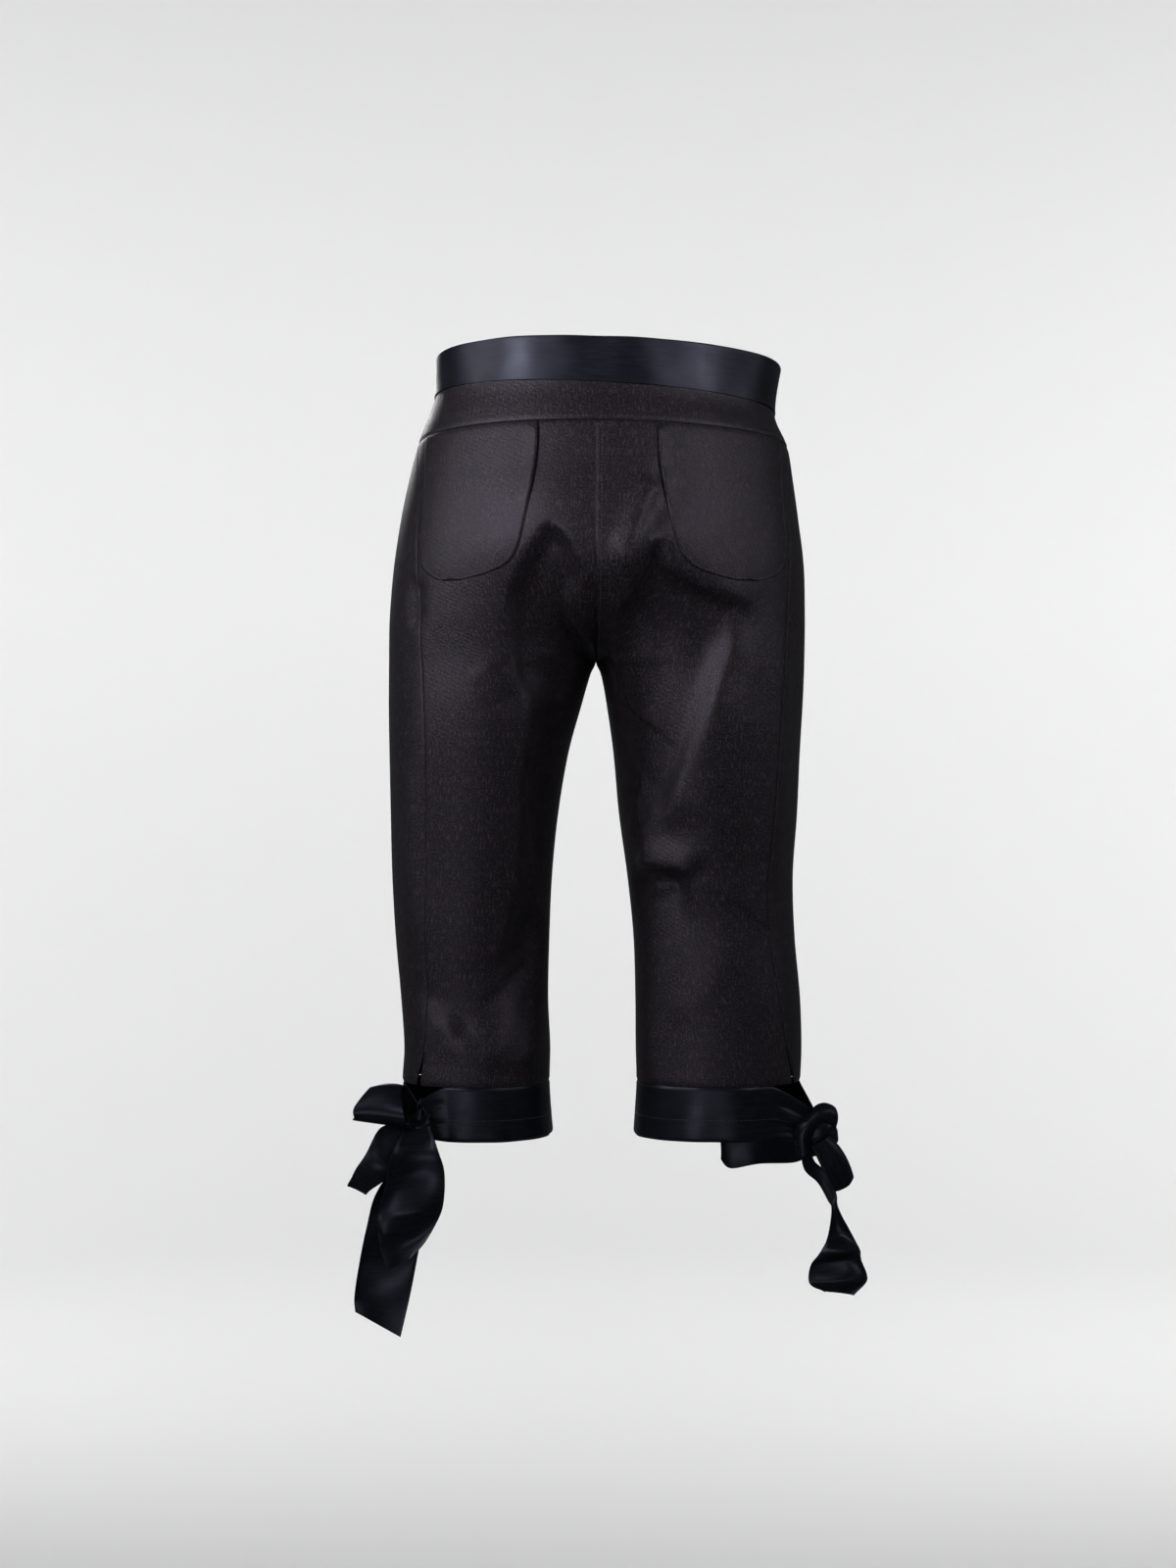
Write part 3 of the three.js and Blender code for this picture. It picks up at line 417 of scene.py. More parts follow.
def grid_object(
    name: str,
    points: Array,
    material: bpy.types.Material,
    wall: float = 0.0,
    outward: Array | None = None,
) -> bpy.types.Object:
    """Makes a sheet from a grid of points in millimetres, with a map in metres along the cloth.

    Args:
        name: The object's name.
        points: Rows by columns by 3.
        material: What it is made of.
        wall: Thickness behind the sheet, or 0 for none.
        outward: A direction at the grid's middle that its front faces, or None to keep the grid's own.

    Returns:
        The finished object, at the origin.
    """
    rows, columns = points.shape[:2]
    if outward is not None:
        if np.dot(grid_normals(points)[rows // 2, columns // 2], outward) < 0:
            points = points[:, ::-1]
    across = run_lengths(points, 1)
    across -= across[:, columns // 2 : columns // 2 + 1]
    along = run_lengths(points, 0)[:, columns // 2][:, None] + np.zeros_like(across)
    index = np.arange(rows * columns).reshape(rows, columns)
    quads = np.stack([index[:-1, :-1], index[1:, :-1], index[1:, 1:], index[:-1, 1:]], -1).reshape(-1, 4)
    obj = mesh_object(name, (points.reshape(-1, 3) * MM).tolist(), quads.tolist(), material)
    mesh = obj.data
    loops = np.zeros(len(mesh.loops), np.int32)
    mesh.loops.foreach_get("vertex_index", loops)
    flat = np.stack([across.reshape(-1), along.reshape(-1)], -1)[loops] * MM
    mesh.uv_layers.new(name="cloth").data.foreach_set("uv", flat.astype(np.float32).reshape(-1))
    if wall:
        thicken(obj, wall)
    return obj


def mesh_object(name: str, verts: list, faces: list, material: bpy.types.Material) -> bpy.types.Object:
    """Puts a smooth mesh in the scene.

    Args:
        name: The object's name.
        verts: Its points, in metres.
        faces: Its faces, as places in verts.
        material: What it is made of.

    Returns:
        The object, at the origin.
    """
    mesh = bpy.data.meshes.new(name)
    mesh.from_pydata(verts, [], faces)
    mesh.polygons.foreach_set("use_smooth", [True] * len(mesh.polygons))
    mesh.materials.append(material)
    obj = bpy.data.objects.new(name, mesh)
    bpy.context.scene.collection.objects.link(obj)
    return obj


def tube_faces(first: int, rings: int, turns: int) -> list[tuple[int, int, int, int]]:
    """Lists the faces between rings of points.

    Args:
        first: Where the first ring's points start.
        rings: How many rings.
        turns: Points in each.

    Returns:
        The faces, as places of points.
    """
    faces = []
    for ring in range(rings - 1):
        for k in range(turns):
            a, b = first + ring * turns + k, first + ring * turns + (k + 1) % turns
            faces.append((a, b, b + turns, a + turns))
    return faces


@contextmanager
def edited(obj: bpy.types.Object) -> Iterator[bmesh.types.BMesh]:
    """Opens an object's mesh for editing, and writes it back after.

    Args:
        obj: The object.

    Yields:
        The open mesh.
    """
    mesh = bmesh.new()
    mesh.from_mesh(obj.data)
    yield mesh
    mesh.to_mesh(obj.data)
    mesh.free()


def close_holes(mesh: bmesh.types.BMesh) -> None:
    """Fills a mesh's open edges and turns all its faces out.

    Args:
        mesh: The open mesh.
    """
    bmesh.ops.holes_fill(mesh, edges=[e for e in mesh.edges if e.is_boundary], sides=0)
    bmesh.ops.triangulate(mesh, faces=[f for f in mesh.faces if len(f.verts) > 4])
    bmesh.ops.recalc_face_normals(mesh, faces=mesh.faces)


def thicken(obj: bpy.types.Object, wall: float) -> None:
    """Gives a sheet a wall behind it, with crisp cut edges.

    Args:
        obj: The sheet.
        wall: Its thickness, in millimetres.
    """
    solid = obj.modifiers.new("wall", "SOLIDIFY")
    solid.thickness = wall * MM
    solid.offset = -1.0
    apply_modifiers(obj)
    soften(obj, 50)


def soften(obj: bpy.types.Object, degrees: float) -> None:
    """Shades an object smooth up to an angle."""
    select_only(obj)
    bpy.ops.object.shade_smooth_by_angle(angle=math.radians(degrees))


def select_only(obj: bpy.types.Object) -> None:
    """Makes one object the only one that is selected, and active.

    Args:
        obj: The object.
    """
    bpy.ops.object.select_all(action="DESELECT")
    obj.select_set(True)
    bpy.context.view_layer.objects.active = obj


def apply_modifiers(obj: bpy.types.Object) -> None:
    """Applies all of an object's modifiers, in order.

    Args:
        obj: The object.
    """
    select_only(obj)
    for modifier in list(obj.modifiers):
        bpy.ops.object.modifier_apply(modifier=modifier.name)


def spaced(count: int, hug: float = 0.7) -> Array:
    """Spaces values from 0 to 1, closer together near both ends.

    Args:
        count: How many values.
        hug: 0 for even steps, 1 for the closest ends.

    Returns:
        The values.
    """
    t = np.linspace(0, 1, count)
    return lerp(t, 0.5 - 0.5 * np.cos(np.pi * t), hug)


# ---------------------------------------------------------------------------------------------------------
# The worn figure
# ---------------------------------------------------------------------------------------------------------

TORSO = Table(
    ("z", "left", "right", "back", "front", "seam_left", "seam_right", "lean", "rise"),
    (
        (20, 127, 149.5, 93, 90, 9, 5, 0.026, 9),
        (-19, 130.5, 145.5, 98, 95, 10, 5, 0.049, 7),
        (-53, 144.5, 156, 109, 101, 12, 7, 0.01, 10.5),
        (-80, 151.5, 160.5, 118, 105, 21, 15, 0.012, 4),
        (-110, 158, 164.5, 125, 107, 28, 22, 0.006, 2),
        (-150, 164.3, 169.2, 128, 107, 32, 26, 0, 0),
        (-190, 168, 170.4, 122, 104, 35, 29, 0, 0),
        (-227, 168.8, 170, 111, 99, 37, 31, 0, 0),
        (-300, 168, 166, 96, 92, 40, 34, 0, 0),
    ),
)
LEG_COLUMNS = ("z", "outer", "inner", "back", "front", "seam")
LEGS = {
    Side.LEFT: Table(
        LEG_COLUMNS,
        (
            (-130, 161.5, 0, 112, 96, 48),
            (-190, 168, 0, 107, 92, 50),
            (-227, 168.8, 0, 101, 89, 52),
            (-236, 168.8, 4, 99.5, 88.5, 53),
            (-260, 168.8, 11, 96, 87, 55),
            (-300, 168, 22, 89, 84, 58),
            (-350, 167, 30.5, 80, 80, 59),
            (-400, 165.8, 35.5, 72, 75, 59),
            (-450, 163, 37.7, 67, 70, 56),
            (-500, 158.6, 38.7, 66, 66, 52),
            (-540, 156, 37, 66, 62, 47),
            (-568, 157.5, 37.5, 66, 60, 43),
            (-620, 156, 35, 65, 59, 43),
        ),
    ),
    Side.RIGHT: Table(
        LEG_COLUMNS,
        (
            (-130, 167, 0, 112, 96, 36),
            (-190, 170.4, 0, 107, 92, 39),
            (-227, 170, 0, 101, 89, 42),
            (-236, 169.8, 3.8, 99.5, 88.5, 43),
            (-260, 168.6, 8.4, 96, 87, 44),
            (-300, 166, 14, 89, 84, 46),
            (-350, 163.8, 18.6, 81, 80, 48),
            (-400, 160.4, 25.4, 73, 75, 51),
            (-450, 161.9, 30.5, 67, 70, 51),
            (-500, 166.3, 32, 65, 66, 46),
            (-540, 167.5, 32.3, 64, 62, 39),
            (-568, 166.4, 32.8, 64, 60, 28),
            (-620, 165, 29.5, 63, 59, 28),
        ),
    ),
}


@dataclass(frozen=True)
class Fold:
    """A fold's crest, seen from the back or the front, as a line of x and z.

    The cloth rises by high at the crest. On the left hand of the way along the crest it comes down over gentle,
    and on the right hand over steep, to the share dip of high under its rest, and back up over reach.
    """

    crest: tuple[tuple[float, float], ...]
    high: float
    gentle: float
    steep: float
    dip: float = 0.0
    reach: float = 30.0
    fade: float = 25.0


BACK_FOLDS = (
    # under the seat, left: from the centre seam up to a peak beside the pocket, and down the thigh
    Fold(
        (
            (1, -184), (10, -152), (22, -131), (38, -123), (52, -140),
            (65, -163), (71, -186), (69, -224), (64, -262),
        ),
        3.4, 38, 11, 2.2, 85, 22,
    ),
    # down the left leg, between its outer half and the inseam
    Fold(((62, -230), (58, -280), (64, -330), (66, -389), (76, -450), (98, -494)), 3.4, 46, 15, 1.6, 70, 50),
    # under the seat, right: two draglines to the pocket's side, then along under the pocket
    Fold(((-50, -84), (-38, -108), (-14, -160)), 3.2, 13, 8, 0.8, 20, 18),
    Fold(((-49, -130), (-34, -145), (-15, -163)), 2.8, 10, 7, 0.8, 18, 12),
    Fold(
        (
            (-128, -186), (-112, -179), (-80, -168), (-61, -156),
            (-48, -136), (-36, -153), (-22, -176), (-12, -206),
        ),
        3.4, 24, 10, 2.0, 75, 22,
    ),
    # ridge down the right thigh to the knee
    Fold(((-56, -369), (-72, -327), (-92, -271), (-106, -230), (-117, -192)), 5.0, 46, 16, 1.6, 60, 36),
    # the wing at the right knee
    Fold(((-80, -399), (-68, -391), (-48, -389), (-28, -388)), 6.0, 20, 9, 1.4, 46, 14),
    # the left leg's lower drape
    Fold(((38, -428), (65, -479), (90, -507), (118, -528)), -7.0, 48, 24, 0.0, 30, 20),
    Fold(((116, -526), (102, -534), (82, -538), (60, -541), (40, -542)), 3.4, 15, 26, 0.0, 20, 20),
    Fold(((45, -482), (56, -520), (70, -553)), -2.0, 10, 10, 0.0, 14, 14),
    # beside the right side seam
    Fold(((-146, -190), (-145, -300), (-137, -430)), 1.6, 10, 10, 0.2, 24, 60),
    # a soft hollow outside the left side seam
    Fold(((142, -158), (143, -210)), -2.6, 8, 8, 0.0, 20, 16),
    # small creases
    Fold(((-11, -282), (-16, -302), (-27, -326)), 1.3, 5, 4, 0.5, 10, 12),
    Fold(((-33, -314), (-30, -342), (-26, -370)), 1.1, 5, 4, 0.5, 10, 14),
    Fold(((80, -222), (83, -233), (91, -240), (98, -237)), 0.9, 10, 8, 0.8, 16, 8),
    Fold(((40, -462), (58, -470), (98, -500)), 1.2, 9, 6, 0.4, 14, 16),
    Fold(((-52, -68), (-49, -100)), -1.2, 5, 5, 0.0, 10, 8),
    Fold(((26, -146), (34, -152), (44, -160)), 0.8, 12, 12, 0.2, 20, 8),
    Fold(((-116, -440), (-92, -484), (-60, -520)), 1.0, 16, 12, 0.2, 24, 20),
    Fold(((-64, -404), (-48, -410), (-36, -408)), 1.2, 8, 6, 0.4, 12, 8),
    Fold(((150, -300), (148, -380), (140, -470)), 1.2, 12, 12, 0.2, 24, 40),
)
FRONT_FOLDS = (
    Fold(((4, -196), (30, -204), (62, -216)), 3.5, 14, 20, 0.2),
    Fold(((-66, -222), (-34, -208), (-4, -198)), 3.5, 14, 20, 0.2),
    Fold(((96, -420), (112, -340), (130, -250)), 3.5, 24, 24, 0.0, 30, 50),
    Fold(((-126, -240), (-112, -310), (-98, -390)), 3.0, 22, 22, 0.0, 30, 50),
    Fold(((48, -442), (90, -458), (132, -470)), -3.5, 20, 12),
    Fold(((-126, -462), (-84, -448), (-44, -430)), -3.5, 20, 12),
    Fold(((18, -236), (44, -262), (80, -276)), 1.6, 8, 8, 0.3),
    Fold(((-84, -270), (-46, -258), (-18, -236)), 1.6, 8, 8, 0.3),
    Fold(((20, -120), (70, -132), (128, -110)), 1.2, 12, 10, 0.3),
    Fold(((-132, -112), (-80, -140), (-40, -124)), 1.2, 12, 10, 0.3),
    Fold(((60, -392), (100, -404), (140, -396)), 1.4, 12, 8, 0.4),
    Fold(((-138, -392), (-96, -400), (-54, -384)), 1.4, 12, 8, 0.4),
)
FOLDS = {Face.BACK: BACK_FOLDS, Face.FRONT: FRONT_FOLDS}


def fold_height(folds: Sequence[Fold], x: Array, z: Array) -> Array:
    """Finds how far folds lift the cloth.

    Args:
        folds: The folds to add up.
        x: Places from the wearer's right to left.
        z: Heights.

    Returns:
        The lift at each place.
    """
    lift = np.zeros_like(x)
    for fold in folds:
        crest = np.array(fold.crest, float)
        knots = np.arange(len(crest), dtype=float)
        path = Table(("t", "x", "z"), tuple((k, *p) for k, p in zip(knots, crest)))
        fine = np.linspace(0, knots[-1], 8 * (len(crest) - 1) + 1)
        line = np.stack([path.read("x", fine), path.read("z", fine)], -1)
        steps = np.diff(line, axis=0)
        lengths = np.hypot(steps[:, 0], steps[:, 1])
        before = np.concatenate([[0], np.cumsum(lengths)])
        found = []
        for start, step, length, run in zip(line[:-1], steps, lengths, before):
            dx, dz = x - start[0], z - start[1]
            t = np.clip((dx * step[0] + dz * step[1]) / length**2, 0, 1)
            away = np.hypot(dx - t * step[0], dz - t * step[1])
            found.append((away, np.sign(step[0] * dz - step[1] * dx), run + t * length))
        away, left, run = (np.stack(values) for values in zip(*found))
        nearest = away.min(axis=0)
        share = np.exp(-(away - nearest) / (0.3 + 0.16 * nearest))
        share /= share.sum(axis=0)
        hand = np.take_along_axis(left, away.argmin(axis=0)[None], 0)[0]
        signed, along = hand * (share * away).sum(axis=0), (share * run).sum(axis=0)
        taper = smooth(along / fold.fade) * smooth((before[-1] - along) / fold.fade)
        over = np.exp(-((signed / fold.gentle) ** 2))
        drop = (1 + fold.dip) * np.exp(-((signed / fold.steep) ** 2))
        drop = drop - fold.dip * np.exp(-((signed / fold.reach) ** 2))
        lift += fold.high * taper * np.where(signed > 0, over, drop)
    return lift


@dataclass(frozen=True)
class Figure:
    """The filled-out form of the cloth, as a grid in height and round each half."""

    band_seam: float = -18.8
    yoke_seam: float = -52.8
    seat: float = -130.0
    crotch: float = -227.0
    thigh: float = -300.0
    hem_seam: float = -567.0
    hem_edge: float = -610.5
    torso_power: float = 2.2
    leg_power: float = 2.08
    crotch_y: float = 2.0
    inner_share: float = 0.42
    slit_top: float = -528.0
    slit_open: float = 2.6

    @staticmethod
    def superellipse(angle: Array, a: Array, b: Array, power: float) -> tuple[Array, Array]:
        """Finds a point on a rounded section.

        Args:
            angle: In degrees.
            a: Half width.
            b: Half depth.
            power: 2 for an ellipse, more for squarer.

        Returns:
            x and y.
        """
        c, s = np.cos(np.radians(angle)), np.sin(np.radians(angle))
        return a * np.sign(c) * np.abs(c) ** (2 / power), b * np.sign(s) * np.abs(s) ** (2 / power)

    def body(self, side: Side, level: Array, around: Array) -> Array:
        """Finds the cloth's outer face with no folds.

        Args:
            side: The wearer's side.
            level: Height at the side seam.
            around: 0 at the centre back or inseam, 1 at the side seam, 2 at the centre front or inseam.

        Returns:
            Points, in millimetres.
        """
        level, around = np.broadcast_arrays(np.asarray(level, float), np.asarray(around, float))
        leg = LEGS[side]
        half = TORSO.read(side.word, level)
        torso_seam = TORSO.read(f"seam_{side.word}", level)
        leg_seam = leg.read("seam", level)
        is_back = around <= 1
        edge = np.where(is_back, around, 2 - around)
        torso_angle = np.where(is_back, 90 - edge * (90 - torso_seam), edge * (90 + torso_seam) - 90)
        torso_depth = np.where(torso_angle > 0, TORSO.read("back", level), TORSO.read("front", level))
        tx, ty = self.superellipse(torso_angle, half, torso_depth, self.torso_power)
        outer, inner = leg.read("outer", level), np.maximum(0, leg.read("inner", level))
        leg_angle = np.where(is_back, 180 - edge * (180 - leg_seam), edge * (180 + leg_seam) - 180)
        leg_depth = np.where(leg_angle > 0, leg.read("back", level), leg.read("front", level))
        lx, ly = self.superellipse(leg_angle, (outer - inner) / 2, leg_depth, self.leg_power)
        away = smooth(edge / self.inner_share)
        down = np.clip((self.seat - level) / (self.seat - self.crotch), 0, 1)
        arc = 1 - np.cos(np.radians(90 * down))
        parted = lerp(arc, smooth((self.seat - level) / (self.seat - self.thigh)), away)
        under = np.where(down < 1, self.seat + (self.crotch - self.seat) * np.sin(np.radians(90 * down)), level)
        seam_z = np.where(level > self.seat, level, under)
        x = lerp(tx, (outer + inner) / 2 + lx, parted) + HALF_GAP
        inseam = self.crotch_y + np.where(is_back, HALF_GAP, -HALF_GAP)
        y = lerp(ty, ly + inseam * (1 - away), parted)
        rise = TORSO.read("rise", level) * np.sin(np.radians(torso_angle))
        lean = TORSO.read("lean", level) * side.value * x
        return np.stack([side.value * x, y, lerp(seam_z, level, away) + rise + lean], -1)

    def outward(self, side: Side, level: Array, around: Array) -> Array:
        """Finds the unit normals of the body form.

        Args:
            side: As in body().
            level: As in body().
            around: As in body().

        Returns:
            The normals.
        """
        level, around = np.broadcast_arrays(np.asarray(level, float), np.asarray(around, float))
        low, high = np.clip(around - 0.004, 0, 2), np.clip(around + 0.004, 0, 2)
        across = self.body(side, level, high) - self.body(side, level, low)
        along = self.body(side, level - 1, around) - self.body(side, level + 1, around)
        normal = np.cross(across, along) * side.value
        centre = ((around == 0) | (around == 2)) & (level >= self.crotch)
        turn = np.where(around == 0, 1.0, -1.0)
        middle = np.stack([np.zeros_like(turn), -along[..., 2] * turn, along[..., 1] * turn], -1)
        normal = np.where(centre[..., None], middle, normal)
        return normal / np.maximum(np.linalg.norm(normal, axis=-1, keepdims=True), 1e-9)

    def cloth(self, side: Side, level: Array, around: Array) -> Array:
        """Finds the cloth's outer face with its folds.

        Args:
            side: The wearer's side.
            level: Height at the side seam.
            around: As in body().

        Returns:
            Points, in millimetres.
        """
        level, around = np.broadcast_arrays(np.asarray(level, float), np.asarray(around, float))
        points = self.body(side, level, around)
        normals = self.outward(side, level, around)
        fade = smooth(np.abs(normals[..., 1]) * 1.6)
        fade = fade * smooth((self.yoke_seam - 8 - level) / 30) * smooth((level - self.hem_seam - 4) / 22)
        x, z = points[..., 0], points[..., 2]
        back, front = (fold_height(FOLDS[face], x, z) for face in Face)
        lift = fade * np.where(normals[..., 1] > 0, back, front)
        return points + normals * lift[..., None]

    def locate(self, side: Side, face: Face, x: Array, z: Array) -> tuple[Array, Array]:
        """Finds where on the cloth a place seen from the back or the front lies.

        Args:
            side: The wearer's side.
            face: The half that is looked at.
            x: Places from the wearer's right to left.
            z: Heights.

        Returns:
            Their levels and how far around they are, as in body().
        """
        x, z = (np.array(v, float) for v in np.broadcast_arrays(x, z))
        # a first guess on a round section, then steps down the slopes, none of them too long
        edge = np.clip(np.arcsin(np.clip(np.abs(x) / 172, 0, 0.97)) / math.radians(70), 0.02, 0.97)
        level, around = z.copy(), edge if face is Face.BACK else 2 - edge
        down, over = 0.5, 0.002
        for _ in range(14):
            p = self.body(side, level, around)
            dl = (self.body(side, level + down, around) - p) / down
            da = (self.body(side, level, around + over) - p) / over
            ex, ez = x - p[..., 0], z - p[..., 2]
            det = dl[..., 0] * da[..., 2] - da[..., 0] * dl[..., 2]
            det = np.where(np.abs(det) < 1e-3, 1e-3, det)
            level = level + np.clip((ex * da[..., 2] - da[..., 0] * ez) / det, -12, 12)
            around = around + np.clip((dl[..., 0] * ez - ex * dl[..., 2]) / det, -0.12, 0.12)
            around = np.clip(around, 0.001, 0.999) if face is Face.BACK else np.clip(around, 1.001, 1.999)
        return level, around

    def cover(self, side: Side, level: Array, around: Array, lift: Array) -> Array:
        """Finds points that stand off the cloth.

        Args:
            side: The wearer's side.
            level: As in body().
            around: As in body().
            lift: How far off.

        Returns:
            Points, in millimetres.
        """
        return self.cloth(side, level, around) + self.outward(side, level, around) * np.asarray(lift)[..., None]


FIGURE = Figure()


@dataclass
class Dresser:
    """Puts finished pieces in the garment."""

    finishes: Finishes

    def wear(self, obj: bpy.types.Object, slot: str, nodes: Sequence[str] = ()) -> None:
        """Fixes a piece to the garment.

        Args:
            obj: The finished piece.
            slot: The record's material slot. Not used.
            nodes: The solids that it stands for.
        """
        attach(obj, "root")
        if nodes:
            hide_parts(*nodes)
        log.info("%s: %d faces", obj.name, len(obj.data.polygons))

    def lay(
        self,
        obj: bpy.types.Object,
        slot: str,
        nodes: Sequence[str],
        points: Array,
        held: str,
        rests_on: Sequence[str],
    ) -> None:
        """Fixes a sheet to the garment.

        Args:
            obj: The finished sheet.
            slot: The record's material slot.
            nodes: The solids that it stands for.
            points: Its grid. Not used.
            held: What holds its shape. Not used.
            rests_on: What it lies on or hangs from. Not used.
        """
        self.wear(obj, slot, nodes)


def press_edges(points: Array, normals: Array, **sides: tuple[float, float]) -> Array:
    """Rolls a panel's edges in, as a pressed seam does.

    Args:
        points: The panel's grid.
        normals: Its unit normals, or one way out for all of it.
        sides: top, bottom, first and last to depth and reach, in millimetres.

    Returns:
        The grid with its edges rolled in.
    """
    across, along = run_lengths(points, 1), run_lengths(points, 0)
    distance = {
        "first": across,
        "last": across[:, -1:] - across,
        "top": along,
        "bottom": along[-1:] - along,
    }
    dip = np.zeros(points.shape[:2])
    for name, (depth, reach) in sides.items():
        dip = np.maximum(dip, depth * np.exp(-((distance[name] / reach) ** 2)))
    return points - normals * dip[..., None]


@dataclass
class LegPanels:
    """The two backs and two fronts, each cut in one from the yoke to the hem."""

    dresser: Dresser
    wall: float = 1.3
    rows: int = 230
    columns: int = 84
    centre_share: float = 0.2

    def levels(self) -> Array:
        """Lists the panels' rows, from the yoke seam to the hem seam.

        Returns:
            Their levels.
        """
        top = np.linspace(FIGURE.yoke_seam - HALF_GAP, FIGURE.crotch, int(self.rows * 0.42), endpoint=False)
        low = np.linspace(FIGURE.crotch, FIGURE.hem_seam + HALF_GAP, self.rows - len(top))
        return np.concatenate([top, low])

    def grid(self, side: Side, face: Face) -> Array:
        """Lays out one panel.

        Args:
            side: The wearer's side.
            face: Back or front.

        Returns:
            The panel's grid, from the centre to the side seam.
        """
        level = self.levels()[:, None]
        t = spaced(self.columns)[None, :]
        slit = smooth((FIGURE.slit_top - level) / (FIGURE.slit_top - FIGURE.hem_seam)) ** 1.5
        end = 1 - (HALF_GAP + FIGURE.slit_open * slit) / QUARTER_RUN
        around = t * end if face is Face.BACK else 2 - t * end
        around = np.where(t == 0, 0.0 if face is Face.BACK else 2.0, around)
        points = FIGURE.cloth(side, level, around)
        normals = FIGURE.outward(side, level + 0 * around, around)
        points = press_edges(
            points, normals, first=(0.35, 0.8), last=(0.4, 1.2), top=(0.9, 1.4), bottom=(0.8, 1.4)
        )
        # the two halves touch down the middle, so no light comes through the seam
        points[self.levels() > FIGURE.crotch - 2, 0, 0] *= self.centre_share
        return points

    def build(self) -> None:
        """Builds the four panels."""
        cloth = self.dresser.finishes.sateen
        for side in Side:
            for face in Face:
                name = f"{face.value}_{side.word}"
                points = self.grid(side, face)
                obj = grid_object(f"{name}_panel", points, cloth, self.wall, face.outward)
                self.dresser.lay(obj, "sateen", [name], points, "stretched", ["waistband"])


@dataclass
class Yokes:
    """The shaped yoke: one piece at the back and two at the front."""

    dresser: Dresser
    wall: float = 1.3
    rows: int = 30
    columns: int = 110
    tuck: float = 2.4
    step: float = 2.3

    def strip(self, side: Side, face: Face) -> Array:
        """Lays out the yoke of one quarter, from the centre to the side seam.

        Args:
            side: The wearer's side.
            face: Back or front.

        Returns:
            The quarter's grid.
        """
        level = np.linspace(FIGURE.band_seam + self.tuck, FIGURE.yoke_seam + HALF_GAP, self.rows)[:, None]
        t = spaced(self.columns)[None, :] * (1 - HALF_GAP / QUARTER_RUN)
        around = t if face is Face.BACK else 2 - t
        under = np.clip(level - FIGURE.band_seam, 0, 1) * self.step
        return FIGURE.cover(side, level, around, -under + 0 * around)

    def finish(self, name: str, points: Array, face: Face) -> None:
        """Turns a yoke's grid to cloth.

        Args:
            name: The solid that it stands for.
            points: Its grid.
            face: Back or front.
        """
        normals = grid_normals(points)
        middle = normals[self.rows // 2, points.shape[1] // 2]
        normals = normals * (1 if np.dot(middle, face.outward) > 0 else -1)
        points = press_edges(points, normals, first=(0.9, 1.6), last=(0.9, 1.6), bottom=(0.5, 1.2))
        obj = grid_object(f"{name}_cloth", points, self.dresser.finishes.sateen, self.wall, face.outward)
        self.dresser.lay(obj, "sateen", [name], points, "stretched", ["waistband"])

    def build(self) -> None:
        """Builds the three yoke pieces."""
        left, right = self.strip(Side.LEFT, Face.BACK), self.strip(Side.RIGHT, Face.BACK)
        left[:, 0] = (left[:, 0] + right[:, 0]) / 2
        back = np.concatenate([left[:, ::-1], right[:, 1:]], axis=1)
        self.finish("back_yoke", back, Face.BACK)
        for side in Side:
            self.finish(f"front_yoke_{side.word}", self.strip(side, Face.FRONT), Face.FRONT)


@dataclass
class Waistband:
    """The satin waistband, folded double over its top edge and lapped at the centre front."""

    dresser: Dresser
    stand: float = 0.8
    flare: float = 1.6
    wall: float = 2.4
    bend: float = 1.2
    lap: float = 0.2  # share of a quarter's round
    lap_step: tuple[float, float] = (3.8, 0.18)  # where the lap climbs over the other end, and in how long
    lap_gap: float = 0.4
    top: float = 15.6
    rows: int = 22
    columns: int = 420

    def profile(self) -> list[tuple[float, float]]:
        """Lists the folded band's section.

        Returns:
            Pairs of height and stand, from the outer lower edge over the fold to the inner one.
        """
        levels = np.linspace(FIGURE.band_seam + HALF_GAP, self.top - self.bend, self.rows)
        stands = self.stand + self.flare * np.linspace(0, 1, self.rows)
        outer = list(zip(levels, stands))
        crest = [
            (self.top - self.bend + self.bend * math.sin(a), stands[-1] - self.bend + self.bend * math.cos(a))
            for a in np.linspace(0, math.pi, 9)[1:-1]
        ]
        return outer + crest + [(level, stand - self.wall) for level, stand in outer[::-1]]

    def build(self) -> None:
        """Builds the band as one folded loop of cloth."""
        # four quarters, from the centre front round the wearer's left, and the lap past them
        quarter = np.linspace(0, 1, self.columns)[None, :] * (4 + self.lap)
        around = {
            Side.LEFT: np.clip(np.where(quarter <= 2, 2 - quarter, 2 - (quarter - 4)), 0, 2),
            Side.RIGHT: np.clip(quarter - 2, 0, 2),
        }
        on_left = ((quarter <= 2) | (quarter > 4))[..., None]
        start, over = self.lap_step
        up = smooth((quarter[0] - start) / over)
        profile = self.profile()
        points = np.zeros((len(profile), self.columns, 3))
        for row, (level, lift) in enumerate(profile):
            p, n = (
                np.where(on_left, *(form(side, level, around[side]) for side in Side))[0]
                for form in (FIGURE.body, FIGURE.outward)
            )
            out = lift + (self.wall + self.lap_gap) * up + self.ripple(p, level)
            points[row] = p + n * out[:, None]
        obj = grid_object("waistband_satin", points, self.dresser.finishes.satin)
        with edited(obj) as mesh:
            close_holes(mesh)
        soften(obj, 60)
        self.dresser.wear(obj, "satin", ["waistband"])

    @staticmethod
    def ripple(points: Array, level: float) -> Array:
        """Finds the soft waves of the worn satin band.

        Args:
            points: Places along the band.
            level: Height of the row.

        Returns:
            How far the band stands out there.
        """
        turn = np.arctan2(points[:, 1], points[:, 0])
        high = smooth((level + 24) / 34)
        wave = 0.9 * np.sin(7 * turn + 0.6) + 0.5 * np.sin(13 * turn + 2.1 + level * 0.03)
        return wave * (0.25 + 0.75 * high) * 0.8


